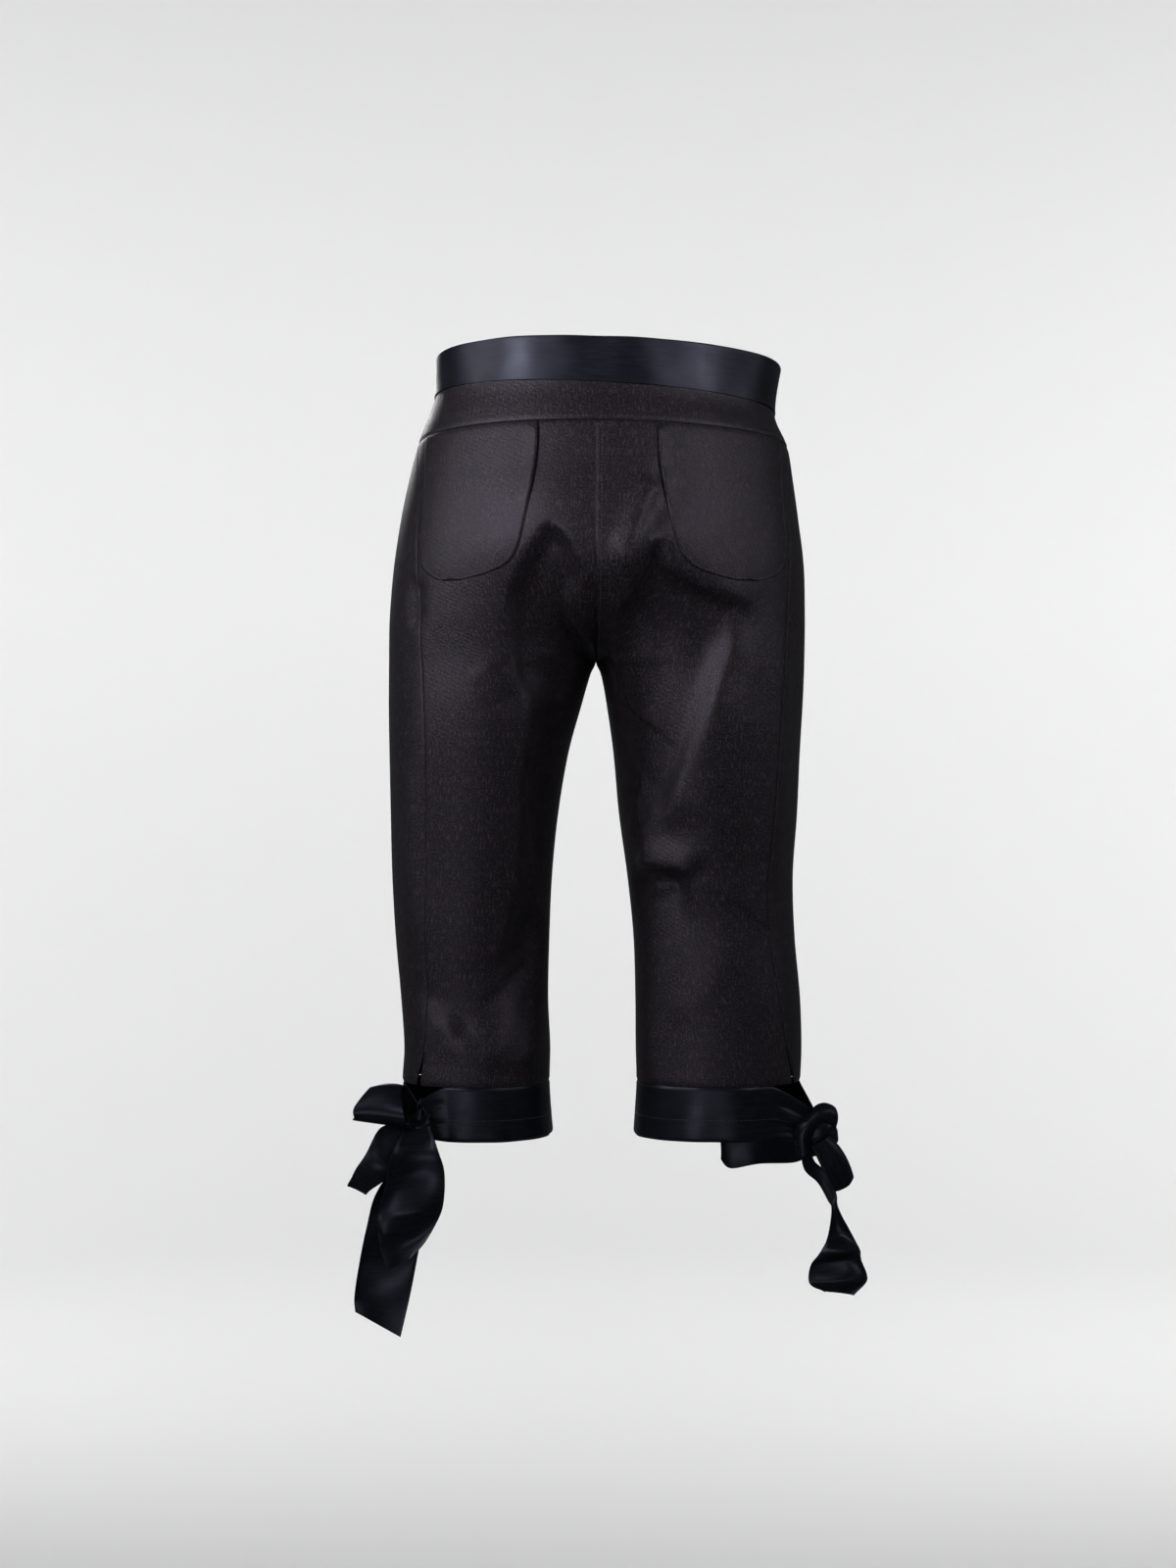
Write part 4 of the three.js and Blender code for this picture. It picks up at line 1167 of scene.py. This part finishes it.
@dataclass
class Pockets:
    """The two back patch pockets, caught in the yoke seam and gaping a little at their inner edges."""

    dresser: Dresser
    outline: Table = Table(
        ("down", "inner", "outer"),
        (
            (0, 45, 0.925),
            (0.15, 45.4, 0.93),
            (0.34, 48.3, 0.936),
            (0.5, 51.8, 0.955),
            (0.65, 55.2, 0.968),
            (0.755, 58.3, 0.968),
            (0.83, 62, 0.966),
            (0.884, 67.3, 0.954),
            (0.925, 75.5, 0.898),
            (0.96, 87, 0.8),
            (0.985, 99, 0.62),
            (1, 107, 0.35),
        ),
    )
    drop: float = 114.5
    tuck: float = 0.7
    right_inset: float = 3.0
    lift: float = 1.3
    wall: float = 1.1
    gape: float = 2.2
    gape_reach: float = 6.5
    rows: int = 64
    columns: int = 60

    def grid(self, side: Side, inset: float = 0.0) -> tuple[Array, Array, Array]:
        """Lays out a pocket seen from the back.

        Args:
            side: The wearer's side.
            inset: How far inside its edge to stay.

        Returns:
            The levels, how far around they are, and the shares down the pocket.
        """
        down = 1 - (1 - np.linspace(0, 1, self.rows)) ** 1.35
        down = down[:, None] * (1 - inset / self.drop)
        level = FIGURE.yoke_seam - self.tuck - down * (self.drop - self.tuck)
        seam = side.value * FIGURE.body(side, level, np.ones_like(level))[..., 0]
        inner = self.outline.read("inner", down) + (self.right_inset if side is Side.RIGHT else 0)
        outer = lerp(inner, seam, self.outline.read("outer", down))
        squeeze = 1 + 1.6 * smooth((down - 0.7) / 0.3)
        inner, outer = inner + inset * squeeze, outer - inset * squeeze
        across = lerp(inner, outer, spaced(self.columns)[None, :])
        half = TORSO.read(side.word, level)
        rise = TORSO.read("rise", level) * np.sqrt(np.clip(1 - (across / half) ** 2, 0, 1))
        height = level + rise + TORSO.read("lean", level) * side.value * across
        found, around = FIGURE.locate(side, Face.BACK, side.value * across, height)
        return found, around, down + 0 * across

    def edge_path(self, side: Side) -> tuple[Array, Array]:
        """Finds the line of the stitches that hold a pocket on.

        Args:
            side: The wearer's side.

        Returns:
            Levels and how far around.
        """
        level, around, _ = self.grid(side, 2.0)
        line = [(level[:, 0], around[:, 0]), (level[-1], around[-1]), (level[::-1, -1], around[::-1, -1])]
        return np.concatenate([a for a, _ in line]), np.concatenate([b for _, b in line])

    def build(self) -> None:
        """Builds both pockets."""
        cloth = self.dresser.finishes.sateen
        for side in Side:
            level, around, down = self.grid(side)
            flat = FIGURE.cover(side, level, around, np.full(level.shape, self.lift))
            mouth = smooth(down / 0.06) * smooth((0.62 - down) / 0.3)
            lift = self.lift + self.gape * mouth * np.exp(-((run_lengths(flat, 1) / self.gape_reach) ** 2))
            points = FIGURE.cover(side, level, around, lift)
            normals = FIGURE.outward(side, level, around)
            points = press_edges(
                points, normals, first=(0.7, 1.0), last=(1.0, 1.4), top=(0.8, 1.4), bottom=(1.0, 1.4)
            )
            name = f"back_pocket_{side.word}"
            obj = grid_object(f"{name}_patch", points, cloth, self.wall, Face.BACK.outward)
            self.dresser.lay(obj, "sateen", [name], points, "laid", [f"back_{side.word}_panel"])


@dataclass
class Fly:
    """The fly's outer layer, which laps from the right front over the left."""

    dresser: Dresser
    width: float = 36.0
    lap: float = 4.0
    end: float = -168.0
    lift: float = 1.6
    wall: float = 1.0

    def place(self, level: Array, share: Array) -> Array:
        """Finds points of the fly.

        Args:
            level: Heights at the side seam.
            share: 0 at the lapping edge and 1 at the sewn edge.

        Returns:
            Points, in millimetres.
        """
        end = smooth((level - self.end) / 42) ** 0.6
        x = lerp(self.lap, -self.width * (0.2 + 0.8 * end), share)
        z = level - TORSO.read("rise", level) + TORSO.read("lean", level) * x
        points = np.zeros((*x.shape, 3))
        for side in Side:
            mine = (x * side.value) >= 0
            found, around = FIGURE.locate(side, Face.FRONT, np.where(mine, x, 10.0 * side.value), z)
            here = FIGURE.cover(side, found, around, np.full(x.shape, self.lift))
            points = np.where(mine[..., None], here, points)
        return points

    def build(self) -> None:
        """Builds the fly."""
        level = np.linspace(FIGURE.band_seam - 1.2, self.end, 70)[:, None]
        points = self.place(level, spaced(30)[None, :])
        out = Face.FRONT.outward
        points = press_edges(points, out, first=(0.9, 1.2), last=(1.0, 1.2), top=(0.6, 1.2), bottom=(1.0, 1.6))
        obj = grid_object("fly_facing", points, self.dresser.finishes.sateen, self.wall, out)
        self.dresser.lay(obj, "sateen", ["fly"], points, "laid", ["front_right_panel", "front_left_panel"])


# ---------------------------------------------------------------------------------------------------------
# Hem bands and bows
# ---------------------------------------------------------------------------------------------------------


@dataclass(frozen=True)
class Knot:
    """A bow's knot: its middle, half sizes, and how strongly it is pleated."""

    x: float
    y: float
    z: float
    rx: float
    ry: float
    rz: float
    pleat: float = 0.07
    pit: float = 0.0


KNOTS = {
    Side.LEFT: Knot(140, 67, -594, 10.5, 9.5, 13, pit=8.0),
    Side.RIGHT: Knot(-180, 33, -606, 14.5, 11.5, 19.5),
}

STATION = ("at", "ax", "ay", "az", "bx", "by", "bz", "bow")


@dataclass(frozen=True)
class Strip:
    """A stretch of ribbon, as its two edges at stations, and how far it bows out between them.

    crush is the height of its small cross wrinkles.
    """

    name: str
    stations: tuple[tuple[float, ...], ...]
    held: str = "hung"
    crush: float = 0.5
    roll: float = 0.0

    def grid(self, columns: int = 25, per_station: int = 12) -> Array:
        """Lays out the ribbon.

        Args:
            columns: Points across.
            per_station: Rows for each station.

        Returns:
            The ribbon's grid, in millimetres.
        """
        table = Table(STATION, tuple((i, *row) for i, row in enumerate(self.stations)))
        t = np.linspace(0, len(self.stations) - 1, per_station * (len(self.stations) - 1) + 1)
        a = np.stack([table.read("a" + c, t) for c in "xyz"], -1)[:, None]
        b = np.stack([table.read("b" + c, t) for c in "xyz"], -1)[:, None]
        c = spaced(columns, 0.5)[None, :, None]
        points = lerp(a, b, c)
        along = np.gradient((a + b) / 2, axis=0)
        out = np.cross(b - a, along)
        out /= np.maximum(np.linalg.norm(out, axis=-1, keepdims=True), 1e-6)
        bow = table.read("bow", t)[:, None, None] * 4 * c * (1 - c)
        width = np.linalg.norm(b - a, axis=-1)[:, :, None]
        run = np.cumsum(np.linalg.norm(along[:, 0], axis=-1))[:, None, None]
        inner = np.minimum(t, t[-1] - t)[:, None, None]
        crush = np.sin(run / 5.3 + 4 * c) * 0.5 + np.sin(run / 8.7 - 3.1 * c + 1) * 0.5
        crush = crush * self.crush * np.clip(inner, 0, 1) * np.clip(width / 30, 0.2, 1)
        rim = self.roll * (np.exp(-((c * width / 1.6) ** 2)) + np.exp(-(((1 - c) * width / 1.6) ** 2)))
        return points + out * (bow + crush - rim)


STRIPS = {
    Side.LEFT: (
        Strip(
            "bow_left_loop_upper",
            (
                (172, 61, -595, 139, 62, -596, 0),
                (186, 62, -586, 141, 60, -582, 0),
                (178, 72, -568, 150, 66, -566, -2),
                (179, 78, -566, 153, 78, -567, -2),
                (190, 84, -580, 152, 88, -579, 0),
                (190, 84, -588, 149, 90, -590, 1),
                (188, 78, -591, 147, 82, -596, 0),
                (150, 70, -594, 139, 72, -598, 0),
            ),
            "gathered",
            0.4,
        ),
        Strip(
            "bow_left_loop_lower",
            (
                (152, 71, -592, 141, 73, -602, 0),
                (170, 79, -597, 152, 80, -612, 2),
                (181, 79, -617, 162, 83, -633, -3),
                (195, 73, -640, 179, 77, -647, 1),
                (196, 65, -643, 181, 66, -650, 0),
                (189, 58, -629, 170, 57, -637, -1),
                (170, 58, -606, 157, 57, -617, -1),
                (151, 62, -594, 144, 62, -600, 0),
            ),
            "gathered",
            0.5,
        ),
        Strip(
            "bow_left_tail_near",
            (
                (152, 75, -598, 131, 75, -596, 0),
                (160, 88, -617, 124, 86, -614, 3),
                (165, 89, -640, 119, 87, -632, 5),
                (171, 82, -664, 121, 81, -660, -6),
                (170, 86, -687, 132, 84, -682, 4),
                (164, 87, -708, 145, 84, -698, 2),
            ),
            crush=0.25,
            roll=0.7,
        ),
        Strip(
            "bow_left_tail_far",
            (
                (142, 67, -605, 135, 69, -605, 0),
                (160, 72, -628, 136, 75, -626, 1),
                (175, 68, -652, 136, 70, -652, 2),
                (182, 61, -677, 137, 62, -675, -2),
                (188, 55, -705, 142, 57, -702, 2),
                (192, 57, -733, 148, 59, -733, 4),
                (191, 61, -745, 155, 66, -764, 4),
            ),
            crush=0.25,
            roll=0.4,
        ),
    ),
    Side.RIGHT: (
        Strip(
            "bow_right_loop_near",
            (
                (-189.4, 45, -650, -171.9, 50, -613.9, 0),
                (-194.7, 42, -650, -176.1, 45.4, -611.7, 1),
                (-201.6, 42, -646.4, -182, 46, -608.5, 2),
                (-205.9, 46, -640.1, -185.5, 52, -606.6, 3),
                (-201.6, 50, -646.4, -182, 58, -608.5, 2),
                (-193, 50, -650.6, -175, 58, -612.3, 1),
                (-189, 47, -650.2, -171.6, 53.5, -614.1, 0),
            ),
            "gathered",
            0.3,
        ),
        Strip(
            "bow_right_loop_far",
            (
                (-182, 26, -598, -182, 26, -609, 0),
                (-181, -2, -600, -180, -2, -625, 1),
                (-167, -38, -603, -166, -38, -640, 1),
                (-138, -63, -606, -138, -64, -645, 1),
                (-113, -71, -612, -114, -72, -650, 1),
                (-105, -77, -622, -106, -78, -643, 1),
                (-112, -82, -612, -114, -83, -650, 1),
                (-142, -82, -605, -144, -82, -643, 1),
                (-176, -50, -601, -176, -50, -638, 1),
                (-191, -6, -600, -191, -6, -626, 1),
                (-187, 26, -599, -187, 26, -610, 0),
            ),
            "gathered",
            0.5,
        ),
        Strip(
            "bow_right_tail_near",
            (
                (-164, 34, -617, -172, 34, -619, 0),
                (-168, 25, -637, -177, 25, -631, 0),
                (-179, 24, -648, -187, 24, -640, 0),
                (-187, 26, -662, -194, 26, -656, 0),
                (-190, 28, -669, -195, 31, -667, 1),
                (-187, 29, -690, -205, 35, -687, 4),
                (-181, 29, -703, -212, 36, -700, -5),
                (-173, 29, -714, -213, 36, -708, 4),
                (-172, 29, -728, -218, 35, -724, -3),
                (-184, 29, -735, -207, 34, -737, 3),
            ),
            crush=0.9,
            roll=0.4,
        ),
        Strip(
            "bow_right_tail_far",
            (
                (-179, 26, -620, -188, 26, -616, 0),
                (-184, 17, -632, -198, 17, -628, 1),
                (-188, 15, -645, -203, 15, -640, 1),
            ),
        ),
    ),
}

WRAP = Strip(
    "bow_right_wrap",
    (
        (-160.3, 43, -623.4, -172.8, 43, -623.4, 4.5),
        (-158.7, 43, -607.7, -172, 43, -611.6, 5),
        (-161.8, 43, -597.5, -174.4, 44, -603.8, 5),
        (-168.1, 42, -591.3, -178.3, 44, -599.1, 5),
        (-176.7, 41, -583.4, -183, 44, -596.7, 5),
        (-184.5, 40, -581.9, -186.1, 43, -597.5, 4.5),
        (-192.4, 38, -586.6, -187.7, 41, -599.9, 4),
        (-193.1, 36, -596.7, -186.9, 39, -604.6, 3),
    ),
    "gathered",
    0.25,
)


@dataclass
class Bows:
    """The satin bow at each outer hem: its knot, loops and tails."""

    dresser: Dresser
    wall: float = 0.8

    def knot(self, side: Side) -> None:
        """Builds a knot as a gathered lump of ribbon.

        Args:
            side: The wearer's side.
        """
        knot = KNOTS[side]
        turn = np.linspace(0, 2 * np.pi, 97)[None, :]
        rise = np.linspace(0.03, np.pi - 0.03, 49)[:, None]
        x, z, y = np.sin(rise) * np.sin(turn), np.sin(rise) * np.cos(turn), np.cos(rise) + 0 * turn
        pleat = 1 + knot.pleat * np.cos(7 * turn + 1.5 * y) * (1 - y * y) + 0.03 * np.sin(12 * turn + 3 * y)
        hollow = knot.pit * np.exp(-((((x - 0.2) / 0.75) ** 2 + ((z - 0.5) / 0.5) ** 2) ** 2)) * smooth(3 * y)
        points = np.stack(
            [knot.x + x * pleat * knot.rx, knot.y + y * knot.ry - hollow, knot.z + z * pleat * knot.rz], -1
        )
        name = f"bow_{side.word}_knot"
        obj = grid_object(f"{name}_satin", points, self.dresser.finishes.satin)
        with edited(obj) as mesh:
            bmesh.ops.remove_doubles(mesh, verts=mesh.verts, dist=0.00001)
            close_holes(mesh)
        self.dresser.wear(obj, "satin", [name])

    def strip(self, side: Side, strip: Strip, nodes: Sequence[str]) -> None:
        """Builds one loop or tail.

        Args:
            side: The wearer's side.
            strip: The ribbon.
            nodes: The solids that it stands for.
        """
        points = strip.grid()
        points = points + grid_normals(points) * (self.wall / 2)
        obj = grid_object(f"{strip.name}_satin", points, self.dresser.finishes.satin, self.wall)
        self.dresser.lay(obj, "satin", nodes, points, strip.held, [f"bow_{side.word}_knot_satin"])

    def build(self) -> None:
        """Builds both bows."""
        for side in Side:
            self.knot(side)
            for strip in STRIPS[side]:
                self.strip(side, strip, [strip.name])
        self.strip(Side.RIGHT, WRAP, [])


@dataclass
class HemBands:
    """The satin band round each hem, whose two ends leave the leg, narrow and run into the knot."""

    dresser: Dresser
    draw: float = 30.0
    end: float = 22.0
    apart: float = 3.0
    bare: int = 26  # points at each end that carry no stitches
    wall: float = 1.4
    rows: int = 40
    columns: int = 110

    def grid(self, side: Side, v: Array) -> Array:
        """Lays out a band.

        Args:
            side: The wearer's side.
            v: Shares down the band, as a column.

        Returns:
            The band's grid, from the back's side seam round the inseam to the front's.
        """
        knot = KNOTS[side]
        t = 1 - (1 - np.linspace(0, 1, self.columns)) ** 1.5
        around = np.concatenate([t[::-1], 2 - t[1:]])[None, :]
        face = np.where(around <= 1, 1.0, -1.0)
        middle = FIGURE.body(side, (FIGURE.hem_seam + FIGURE.hem_edge) / 2, around)
        run = run_lengths(middle, 1)
        to_end = np.minimum(run, run[:, -1:] - run)
        pull = smooth(1 - to_end / self.draw)[..., None]
        level = lerp(FIGURE.hem_seam - HALF_GAP, FIGURE.hem_edge, v)
        p = FIGURE.body(side, level, around)
        ends = np.broadcast_arrays(knot.x, knot.y + self.apart * face, knot.z + (0.5 - v) * self.end)
        target = np.stack(ends, -1)
        inseam = middle[:, self.columns - 1, 0][0]
        outward = np.stack([p[..., 0] - inseam * 0.6, p[..., 1], np.zeros(p.shape[:2])], -1)
        outward /= np.maximum(np.linalg.norm(outward, axis=-1, keepdims=True), 1e-6)
        pleat = 1.8 * np.sin(v * 5 * np.pi)[..., None] * 4 * pull * (1 - pull)
        fine = 0.5 * np.sin(v * 11 * np.pi + 1)[..., None] * np.clip(4 * pull * (1 - pull), 0, 1)
        wave = self.wave(side, run, v)[..., None] * (1 - pull)
        return lerp(p, target, pull) + outward * (pleat + fine + wave)

    @staticmethod
    def wave(side: Side, run: Array, v: Array) -> Array:
        """Finds the soft upright ripples of the band, which grow towards its lower edge.

        Args:
            side: The wearer's side.
            run: How far along the band.
            v: Shares down the band.

        Returns:
            How far the band stands out.
        """
        start = 0.4 if side is Side.LEFT else 2.2
        ripple = 1.3 * np.sin(run / 9.5 + start) + 0.9 * np.sin(run / 5.6 - 1.3 * start + 0.9 * v)
        return ripple * (0.3 + 0.7 * v)

    def build(self) -> None:
        """Builds both bands."""
        for side in Side:
            name = f"hem_band_{side.word}"
            points = self.grid(side, spaced(self.rows, 0.5)[:, None])
            normals = grid_normals(points)
            column = self.columns // 2
            facing = points[self.rows // 2, column] - points[self.rows // 2, -column]
            normals = normals * (1 if np.dot(normals[self.rows // 2, column], facing) > 0 else -1)
            points = press_edges(points, normals, top=(0.7, 1.2), bottom=(0.9, 1.3))
            obj = grid_object(f"{name}_satin", points, self.dresser.finishes.satin)
            middle = Vector(points.reshape(-1, 3).mean(axis=0) * MM)
            with edited(obj) as mesh:
                mesh.faces.ensure_lookup_table()
                probe = mesh.faces[len(mesh.faces) // 4]
                if probe.normal.dot(probe.calc_center_median() - middle) < 0:
                    bmesh.ops.reverse_faces(mesh, faces=mesh.faces)
            thicken(obj, self.wall)
            self.dresser.lay(obj, "satin", [name], points, "stretched", [f"back_{side.word}_panel"])


# ---------------------------------------------------------------------------------------------------------
# Stitches
# ---------------------------------------------------------------------------------------------------------


STITCH_RINGS = ((0.0, 0.3, -0.1), (0.14, 0.95, 0.35), (0.5, 1.0, 0.6), (0.86, 0.95, 0.35), (1.0, 0.3, -0.1))


@dataclass
class Stitching:
    """Rows of lock stitches that show.

    Each stitch is a tube on the rings of STITCH_RINGS: share of its length, size and height off the cloth.
    """

    dresser: Dresser
    length: float = 2.3
    pitch: float = 3.1
    radius: float = 0.2
    sides: int = 6

    def stitch(self, line: Array, normal: Array) -> list[tuple[float, float, float]]:
        """Finds the points of one stitch, ring by ring.

        Args:
            line: The middles of its rings.
            normal: The cloth's normal.

        Returns:
            The points, in metres.
        """
        way = line[-1] - line[0]
        way /= max(np.linalg.norm(way), 1e-6)
        over = np.cross(normal, way)
        over /= max(np.linalg.norm(over), 1e-6)
        up = np.cross(way, over)
        points = []
        for spot, (_, size, high) in zip(line, STITCH_RINGS):
            for k in range(self.sides):
                a = 2 * math.pi * k / self.sides
                place = spot + up * self.radius * high
                place = place + self.radius * size * (math.cos(a) * over + math.sin(a) * up)
                points.append(tuple(place * MM))
        return points

    def row(self, name: str, slot: str, lines: Sequence[tuple[Array, Array]]) -> None:
        """Sews stitches along some lines, as one piece.

        Args:
            name: The piece's name.
            slot: The material slot of the cloth that they are sewn to.
            lines: Points on the cloth, with the cloth's normals there.
        """
        verts, faces = [], []
        for points, normals in lines:
            run = np.concatenate([[0], np.cumsum(np.linalg.norm(np.diff(points, axis=0), axis=1))])
            for start in np.arange(self.pitch / 2, run[-1] - self.length, self.pitch):
                spots = start + self.length * np.array([ring[0] for ring in STITCH_RINGS])
                line = np.stack([np.interp(spots, run, points[:, k]) for k in range(3)], -1)
                up = np.array([np.interp(start, run, normals[:, k]) for k in range(3)])
                first, last = len(verts), len(verts) + (len(STITCH_RINGS) - 1) * self.sides
                verts += self.stitch(line, up)
                faces += tube_faces(first, len(STITCH_RINGS), self.sides)
                faces.append(tuple(first + k for k in reversed(range(self.sides))))
                faces.append(tuple(last + k for k in range(self.sides)))
        self.dresser.wear(mesh_object(name, verts, faces, self.dresser.finishes.thread), slot)

    @staticmethod
    def on_cloth(side: Side, level: Array, around: Array, lift: float) -> tuple[Array, Array]:
        """Finds a line on the cloth.

        Args:
            side: As in Figure.cover().
            level: As in Figure.cover().
            around: As in Figure.cover().
            lift: As in Figure.cover(), the same all along.

        Returns:
            The line's points and the cloth's normals there.
        """
        level, around = np.broadcast_arrays(np.asarray(level, float), np.asarray(around, float))
        points = FIGURE.cover(side, level, around, np.full(level.shape, lift))
        return points, FIGURE.outward(side, level, around)

    def build(self, pockets: Pockets, hems: HemBands) -> None:
        """Sews every row that shows.

        Args:
            pockets: The pockets, for their edges.
            hems: The hem bands, for their rows.
        """
        half = np.linspace(0.004, 1.996, 400)
        yoke = [self.on_cloth(side, FIGURE.yoke_seam + 2.3, half, -0.05) for side in Side]
        self.row("yoke_edge_stitches", "sateen", yoke)
        level = np.linspace(FIGURE.yoke_seam - 2, FIGURE.crotch + 14, 160)
        self.row("centre_back_stitches", "sateen", [self.on_cloth(Side.RIGHT, level, 0.014, 0.0)])
        patches = []
        for side in Side:
            found, around = pockets.edge_path(side)
            patches.append(self.on_cloth(side, found, around, pockets.lift))
        self.row("pocket_edge_stitches", "sateen", patches)
        rows = []
        for side in Side:
            band = hems.grid(side, np.array([[0.58], [0.6], [0.62]]))
            line, normals = (values[1, hems.bare : -hems.bare] for values in (band, grid_normals(band)))
            away = line - line.mean(axis=0)
            normals = normals * np.where((normals * away).sum(axis=1, keepdims=True) > 0, 1, -1)
            rows.append((line, normals))
        self.row("hem_stitches", "satin", rows)


# ---------------------------------------------------------------------------------------------------------
# Stage
# ---------------------------------------------------------------------------------------------------------


@dataclass
class Studio:
    """A pale sweep, soft lights and the camera."""

    distance: float = 2200.0
    eye_x: float = 6.4
    eye_z: float = -326.0
    view_height: float = 1280.0
    sensor: float = 24.0
    floor: float = -1.32
    floor_rings: tuple[float, ...] = (0.6, 1.4, 2.6, 3.6)
    curve: float = 1.6
    backdrop: float = 5.3
    turns: int = 72

    def camera(self) -> None:
        """Sets a level camera behind the garment."""
        data = bpy.data.cameras.new("camera")
        data.sensor_fit = "VERTICAL"
        data.sensor_height = self.sensor
        data.lens = self.sensor * self.distance / self.view_height
        data.clip_end = 50.0
        obj = bpy.data.objects.new("camera", data)
        obj.location = (self.eye_x * MM, self.distance * MM, self.eye_z * MM)
        obj.rotation_euler = (math.radians(90), 0.0, math.radians(180))
        bpy.context.scene.collection.objects.link(obj)
        bpy.context.scene.camera = obj

    def sweep(self) -> None:
        """Lays the paper floor, which curves up behind the garment all round."""
        profile = [(r, self.floor) for r in self.floor_rings]
        profile += [
            (profile[-1][0] + self.curve * math.sin(a), self.floor + self.curve - self.curve * math.cos(a))
            for a in np.linspace(0.15, 1.5, 10)
        ]
        profile += [(self.backdrop, self.floor + 3.0), (self.backdrop, self.floor + 5.0)]
        angles = [2 * math.pi * k / self.turns for k in range(self.turns)]
        points = [(r * math.cos(a), r * math.sin(a), z) for r, z in profile for a in angles]
        faces = [tuple(range(self.turns)), *tube_faces(0, len(profile), self.turns)]
        obj = mesh_object("paper_sweep", points, faces, StudioPaper().build())
        obj.visible_glossy = False  # the sweep is hidden from reflections, which keeps its glare off the cloth's edges

    @staticmethod
    def panel(
        name: str,
        place: tuple[float, float, float],
        aim: tuple[float, float, float],
        size: tuple[float, float],
        power: float,
        spread: float,
    ) -> None:
        """Hangs a softbox.

        Args:
            name: Its name.
            place: Where it hangs, in metres.
            aim: What it faces.
            size: Its width and height.
            power: In watts.
            spread: How wide its beam is, in degrees.
        """
        data = bpy.data.lights.new(name, "AREA")
        data.shape = "RECTANGLE"
        data.size, data.size_y = size
        data.energy = power
        data.spread = math.radians(spread)
        obj = bpy.data.objects.new(name, data)
        obj.location = place
        obj.rotation_euler = (Vector(aim) - Vector(place)).to_track_quat("-Z", "Y").to_euler()
        bpy.context.scene.collection.objects.link(obj)

    @staticmethod
    def around(azimuth: float, distance: float, height: float) -> tuple[float, float, float]:
        """Finds a place round the garment.

        Args:
            azimuth: In degrees from straight behind the wearer, towards their left.
            distance: From the middle, in metres.
            height: In metres.

        Returns:
            The place.
        """
        turn = math.radians(azimuth)
        return distance * math.sin(turn), distance * math.cos(turn), height

    def lights(self) -> None:
        """Sets the softboxes and a dim, even surround."""
        middle, high = (0.0, 0.0, -0.2), (0.0, 0.0, 0.3)
        self.panel("softbox_left", self.around(40, 1.95, 0.7), high, (1.0, 1.0), 3.8, 50)
        self.panel("softbox_right", self.around(-45, 1.95, 0.7), high, (0.8, 1.0), 1.6, 50)
        self.panel("strip_left", self.around(74, 1.8, 0.32), middle, (0.4, 1.1), 3.1, 110)
        self.panel("strip_right", self.around(-80, 1.8, 0.32), middle, (0.4, 1.1), 1.0, 110)
        self.panel("fill_low", self.around(20, 2.3, -0.85), (0.0, 0.0, -0.62), (1.6, 0.5), 0.66, 60)
        self.panel("softbox_front", self.around(164, 2.4, 0.9), middle, (1.0, 1.2), 3, 50)
        for name, x in (("flood_left", 2.0), ("flood_right", -2.0)):
            self.panel(name, (x, -1.2, 1.0), (x * 0.3, -5.3, 0.4), (0.9, 0.9), 76, 180)
        world = bpy.data.worlds.new("surround")
        world.use_nodes = True
        back = world.node_tree.nodes["Background"]
        back.inputs["Color"].default_value = (0.92, 0.95, 1.0, 1.0)
        back.inputs["Strength"].default_value = 0.06
        bpy.context.scene.world = world
        bpy.context.scene.view_settings.view_transform = "Standard"

    def build(self) -> None:
        """Sets the whole stage."""
        self.camera()
        self.sweep()
        self.lights()


def main() -> None:
    """Builds the stage and every piece of the garment."""
    logging.basicConfig(level=logging.INFO, format="%(name)s %(message)s")
    Studio().build()
    dresser = Dresser(Finishes())
    LegPanels(dresser).build()
    Yokes(dresser).build()
    Waistband(dresser).build()
    pockets, hems = Pockets(dresser), HemBands(dresser)
    pockets.build()
    Fly(dresser).build()
    hems.build()
    Bows(dresser).build()
    Stitching(dresser).build(pockets, hems)


if __name__ == "__main__":
    main()
